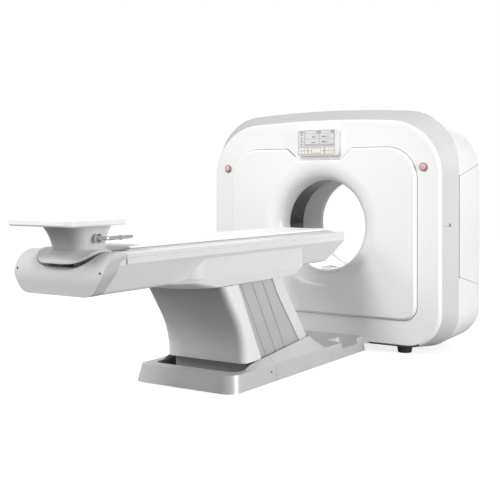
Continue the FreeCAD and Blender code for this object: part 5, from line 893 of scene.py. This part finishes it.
class DisplayPicture(bpy.types.Operator):
    """Model the panes, tag, dot and plain marks of the display's picture"""
    bl_idname = "ct_scanner.display_picture"
    bl_label = "Display picture"

    # shares of the picture's width and height: left, right, bottom and top
    panes = ((0.0, 0.163, 0.0, 1.0), (0.185, 0.52, 0.82, 0.985), (0.63, 0.90, 0.82, 0.985),
             (0.185, 0.575, 0.47, 0.79), (0.60, 0.985, 0.47, 0.79),
             (0.185, 0.575, 0.11, 0.44), (0.60, 0.985, 0.11, 0.44))
    marks = ((0.07, 0.11, 0.46, 0.55), (0.07, 0.11, 0.26, 0.35), (0.07, 0.11, 0.05, 0.14),
             (0.522, 0.552, 0.86, 0.94), (0.598, 0.628, 0.86, 0.94), (0.915, 0.975, 0.90, 0.955),
             (0.385, 0.475, 0.55, 0.61), (0.645, 0.775, 0.58, 0.635), (0.80, 0.85, 0.59, 0.62),
             (0.370, 0.460, 0.19, 0.245), (0.665, 0.765, 0.21, 0.29), (0.79, 0.83, 0.22, 0.265))

    def execute(self, context):
        sizes = context.scene.scanner_console
        low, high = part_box("display_screen")
        inset = Vector((sizes.pane_inset, 0, sizes.pane_inset))
        start = low + inset
        span = high - inset - start
        sink, bevel = 0.0002, 0.0001

        def piece(name, places, under, rise, material):
            """Tiles of one colour, `under` above the glass."""
            made = join([tile(start, span, place, low.y - under - rise, low.y - under + sink, bevel)
                         for place in places], name)
            paint(made, material)
            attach(made, "base")

        piece("display_panes", self.panes, 0.0, sizes.pane_rise,
              finish("display pane", (0.74, 0.745, 0.76), gloss=0.16, shift=0.10, drift=14.0,
                     gloss_shift=0.03))
        piece("display_marks", self.marks, sizes.pane_rise, sizes.mark_rise,
              finish("display mark", (0.24, 0.24, 0.26), gloss=0.25, shift=0.25, drift=90.0))
        piece("display_tag", ((0.022, 0.150, 0.87, 0.93),), sizes.pane_rise, sizes.mark_rise,
              finish("display tag blue", (0.13, 0.36, 0.60), gloss=0.25, shift=0.25, drift=60.0))
        piece("display_dot", ((0.058, 0.118, 0.70, 0.79),), sizes.pane_rise, sizes.mark_rise,
              finish("display dot red", (0.70, 0.24, 0.24), gloss=0.25, shift=0.20, drift=60.0))
        return {"FINISHED"}


class KeyCaps(bpy.types.Operator):
    """Model the console's key caps, one cap copied along the rows"""
    bl_idname = "ct_scanner.key_caps"
    bl_label = "Key caps"

    # shares of the keypad's width and height
    columns = (0.022, 0.103, 0.184, 0.293, 0.632, 0.752, 0.833, 0.914)
    rows = (0.12, 0.54)
    pitch = 0.081
    tall = 0.34
    large_key = (0.392, 0.495, 0.28, 0.74)
    large_pitch = 0.116
    plate = (0.376, 0.628, 0.16, 0.86)

    def execute(self, context):
        sizes = context.scene.scanner_console
        low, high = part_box("keypad")
        span = high - low
        sink = 0.0004

        def cap(*place):
            """A key with a shallow hollow in its front."""
            key = tile(low, span, place, low.y - sizes.key_rise, low.y + sink)
            front = inset_face(key, end_face(key, (0, -1, 0)), sizes.key_border, 0.0)
            inset_face(key, front, sizes.key_dish, -sizes.key_hollow)
            round_edges(key, 0.0004)
            return key

        left, bottom = self.columns[0], self.rows[0]
        right = left + self.pitch - sizes.key_gap / span.x
        first = cap(left, right, bottom, bottom + self.tall)
        caps = [first]
        for column in self.columns:
            for row in self.rows:
                move = ((column - left) * span.x, 0, (row - bottom) * span.z)
                if any(move):
                    caps.append(moved_copy(first, move))
        large = cap(*self.large_key)
        caps += [large, moved_copy(large, (self.large_pitch * span.x, 0, 0))]
        caps = join(caps, "key_caps")
        smooth(caps, 30)
        paint(caps, finish("key cap cream", (0.86, 0.84, 0.80), gloss=0.42, shift=0.05, drift=30.0,
                           grain=0.12, grain_scale=1500.0))
        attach(caps, "base")
        plate_rise, bevel = 0.0006, 0.0003
        plate = join([tile(low, span, self.plate, low.y - plate_rise, low.y + sink, bevel)], "key_plate")
        paint(plate, finish("key plate peach", (0.74, 0.64, 0.60), gloss=0.45, shift=0.06, drift=30.0,
                            grain=0.12, grain_scale=1500.0))
        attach(plate, "base")
        return {"FINISHED"}


class CoverScrews(bpy.types.Operator):
    """Model the small socket screws of the foot-end cap and the plinth"""
    bl_idname = "ct_scanner.cover_screws"
    bl_label = "Cover screws"

    def execute(self, context):
        black = finish("screw black oxide", (0.008, 0.008, 0.008), gloss=0.6, shift=0.3, drift=90.0,
                       grain=0.2, grain_scale=2500.0)
        sizes = context.scene.scanner_screws
        far = CAD_BOUNDS[0].y - OUTSIDE
        wide = CAD_BOUNDS[1].x + OUTSIDE
        for name, node, body, starts in (
                ("cap_screws", "foot_end_cap", "table",
                 [((side * sizes.cap_side, far, sizes.cap_height), (0, 1, 0)) for side in (-1, 1)]),
                ("plinth_screws", "plinth_foot_cover", "base",
                 [((side * wide, sizes.plinth_place, sizes.plinth_height), (-side, 0, 0))
                  for side in (-1, 1)])):
            heads = [self.screw(sizes, NODES[node], start, aim) for start, aim in starts]
            piece = join(heads, name)
            smooth(piece, 35)
            paint(piece, black)
            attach(piece, body)
        return {"FINISHED"}

    @staticmethod
    def screw(sizes, cover, start, aim):
        """A screw's head where a line from `start` along `aim` meets the cover."""
        found, place, normal, _ = cover.ray_cast(start, aim)
        if not found:
            raise RuntimeError("no cover under a screw")
        depth = 0.003
        slope = sizes.head * 0.12
        taper = sizes.socket * 0.08
        head = disc(sizes.head, depth, place + normal * (sizes.rise - depth / 2), normal, 24)
        rim = inset_face(head, end_face(head, normal), slope, sizes.rise * 0.3)
        socket = inset_face(head, rim, sizes.head - slope - sizes.socket, 0.0)
        inset_face(head, socket, taper, -sizes.rise)
        return head


class LockMarks(bpy.types.Operator):
    """Lay the short printed line in front of each cover lock"""
    bl_idname = "ct_scanner.lock_marks"
    bl_label = "Lock marks"

    def execute(self, context):
        sizes = context.scene.scanner_marks
        ink = finish("lock mark grey", (0.36, 0.36, 0.37), gloss=0.5, shift=0.15, drift=60.0)
        far = CAD_BOUNDS[1].x + OUTSIDE
        for side, name in ((-1, "left"), (1, "right")):
            middle = middle_of("cover_lock_" + name)
            start = Vector((side * far, middle.y - sizes.ahead, middle.z))
            found, place, normal, _ = NODES["side_band"].ray_cast(start, Vector((-side, 0, 0)))
            if not found:
                raise RuntimeError("no band under a lock mark")
            turn = -side * math.atan2(-normal.y, abs(normal.x))
            bpy.ops.mesh.primitive_cube_add(size=1, location=place, rotation=(0, 0, turn),
                                            scale=(sizes.thick, sizes.long, sizes.wide))
            strip = bpy.context.object
            settle(strip)
            round_edges(strip, sizes.edge)
            strip.name = strip.data.name = "lock_mark_" + name
            paint(strip, ink)
            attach(strip, "base")
        return {"FINISHED"}


class Mattress(bpy.types.Operator):
    """Simulate the padded mattress on the cradle"""
    bl_idname = "ct_scanner.mattress"
    bl_label = "Mattress"

    def execute(self, context):
        sizes = context.scene.scanner_mattress
        pad = NODES["mattress"].copy()
        pad.data = NODES["mattress"].data.copy()
        pad.name = pad.data.name = "mattress_pad"
        pad.parent = None
        for key in list(pad.keys()):
            del pad[key]
        context.scene.collection.objects.link(pad)
        edit_whole(pad, bpy.ops.mesh.remove_doubles, threshold=1e-5)
        add_modifier(pad, "REMESH", mode="VOXEL", voxel_size=sizes.voxel)
        start = [v.co.copy() for v in pad.data.vertices]
        activate(pad)
        cloth = pad.modifiers.new("Cloth", "CLOTH")
        cloth.settings.use_pressure = True
        cloth.settings.uniform_pressure_force = sizes.pressure
        cloth.settings.effector_weights.gravity = 0.0
        cloth.point_cache.frame_start = 1
        cloth.point_cache.frame_end = sizes.frames
        for step in range(1, sizes.frames + 1):
            context.scene.frame_set(step)
        bpy.ops.object.modifier_apply(modifier=cloth.name)
        context.scene.frame_set(1)
        for vertex, was in zip(pad.data.vertices, start):
            move = vertex.co - was
            if move.length > sizes.swell:
                move *= sizes.swell / move.length
            move.z = max(move.z, 0.0)
            vertex.co = was + move
        add_modifier(pad, "SMOOTH", factor=0.5, iterations=6)
        bpy.ops.object.shade_smooth()
        paint(pad, finish("mattress vinyl", (0.90, 0.90, 0.89), gloss=0.42, shift=0.015, drift=5.0,
                          grain=0.25, grain_scale=750.0, grain_depth=0.0004, sheen_weight=0.15))
        settle(pad)
        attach(pad, "cradle")
        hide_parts("mattress")
        return {"FINISHED"}


class StudioStage(bpy.types.Operator):
    """Set the pale floor, the soft studio light and the camera"""
    bl_idname = "ct_scanner.studio_stage"
    bl_label = "Studio"

    def execute(self, context):
        scene = context.scene
        sizes = scene.scanner_studio
        scene.view_settings.view_transform = "Standard"
        bpy.ops.mesh.primitive_plane_add(size=80, location=(0, 0, -0.001))
        floor = context.object
        floor.name = "studio_floor"
        paint(floor, self.floor_finish(sizes.glow))
        scene.world = self.studio_air(sizes.air)
        self.softbox("key_light", sizes.key_power, (-1.2, -6.2, 7.2), (0.0, 0.0, 0.8), 3.0)
        self.softbox("low_light", sizes.low_power, (-3.6, -5.4, 4.4), (0.0, -0.2, 0.5), 2.6)
        self.softbox("fill_light", sizes.fill_power, (7.4, 0.4, 2.0), (0.6, 0.4, 0.8), 3.5)
        self.softbox("back_light", sizes.back_power, (-1.5, 7.0, 4.5), (0.0, 1.0, 1.0), 4.0)
        data = bpy.data.cameras.new("camera")
        data.lens = sizes.lens
        data.sensor_width = 36.0
        data.shift_y = sizes.shift
        camera = bpy.data.objects.new("camera", data)
        camera.location = (sizes.eye_side, CAD_BOUNDS[1].y - sizes.eye_ahead, sizes.eye_height)
        camera.rotation_euler = (math.radians(90), 0, math.radians(sizes.turn))
        scene.collection.objects.link(camera)
        scene.camera = camera
        return {"FINISHED"}

    @staticmethod
    def floor_finish(glow):
        """White seamless floor: bright in the picture, with little light thrown back up."""
        material = finish("studio floor", (0.30, 0.30, 0.30), gloss=0.85, gloss_shift=0.02, shift=0.01,
                          drift=0.4)
        tree = Tree(material.node_tree)
        shader = material.node_tree.nodes["Principled BSDF"]
        seen = tree.add("ShaderNodeLightPath").outputs["Is Camera Ray"]
        tree.feed(shader.inputs["Emission Color"], (1.0, 1.0, 1.0))
        tree.feed(shader.inputs["Emission Strength"], tree.math("MULTIPLY", seen, glow))
        return material

    @staticmethod
    def studio_air(strength):
        """White round the object, softer where it lights the object."""
        world = bpy.data.worlds.new("studio")
        world.use_nodes = True
        tree = Tree(world.node_tree)
        background = world.node_tree.nodes["Background"]
        seen = tree.add("ShaderNodeLightPath").outputs["Is Camera Ray"]
        tree.feed(background.inputs["Strength"], tree.spread(seen, 0.0, 1.0, strength, 1.0))
        background.inputs["Color"].default_value = (1, 1, 1, 1)
        return world

    @staticmethod
    def softbox(name, power, place, aim, size):
        """A round soft light at a place, turned to what it lights."""
        data = bpy.data.lights.new(name, "AREA")
        data.shape = "DISK"
        data.size = size
        data.energy = power
        lamp = bpy.data.objects.new(name, data)
        lamp.location = place
        lamp.rotation_euler = (Vector(aim) - Vector(place)).to_track_quat("-Z", "Y").to_euler()
        bpy.context.scene.collection.objects.link(lamp)


STEPS = (GantryCovers, ConsoleBody, GantryInside, TableShells, PedestalCovers, StopCaps, BoreLiner, TrayFoot,
         DisplayPicture, KeyCaps, CoverScrews, LockMarks, Mattress, StudioStage)
GROUPS = (("scanner_finishes", ScannerFinishes), ("scanner_mattress", MattressSizes),
          ("scanner_console", ConsoleSizes), ("scanner_stops", StopSizes), ("scanner_screws", ScrewSizes),
          ("scanner_bore", BoreSizes), ("scanner_foot", FootSizes), ("scanner_marks", MarkSizes),
          ("scanner_studio", StudioSizes))


class ScannerPanel(bpy.types.Panel):
    """Lists the scanner's steps and sizes"""
    bl_idname = "VIEW3D_PT_ct_scanner"
    bl_label = "CT scanner"
    bl_space_type = "VIEW_3D"
    bl_region_type = "UI"
    bl_category = "CT scanner"

    def draw(self, context):
        for step in STEPS:
            self.layout.operator(step.bl_idname)
        for name, group in GROUPS:
            column = self.layout.column(align=True)
            for title in group.__annotations__:
                column.prop(getattr(context.scene, name), title)


def register():
    """Add the property groups, the operators and the panel."""
    for _, group in GROUPS:
        bpy.utils.register_class(group)
    for step in STEPS:
        bpy.utils.register_class(step)
    bpy.utils.register_class(ScannerPanel)
    for name, group in GROUPS:
        setattr(bpy.types.Scene, name, PointerProperty(type=group))


def unregister():
    """Take away what register added."""
    for name, _ in GROUPS:
        delattr(bpy.types.Scene, name)
    bpy.utils.unregister_class(ScannerPanel)
    for step in reversed(STEPS):
        bpy.utils.unregister_class(step)
    for _, group in reversed(GROUPS):
        bpy.utils.unregister_class(group)


def main():
    """Register and run the steps in order."""
    register()
    for step in STEPS:
        getattr(bpy.ops.ct_scanner, step.bl_idname.partition(".")[2])()
    deselect()


if __name__ == "__main__":
    main()
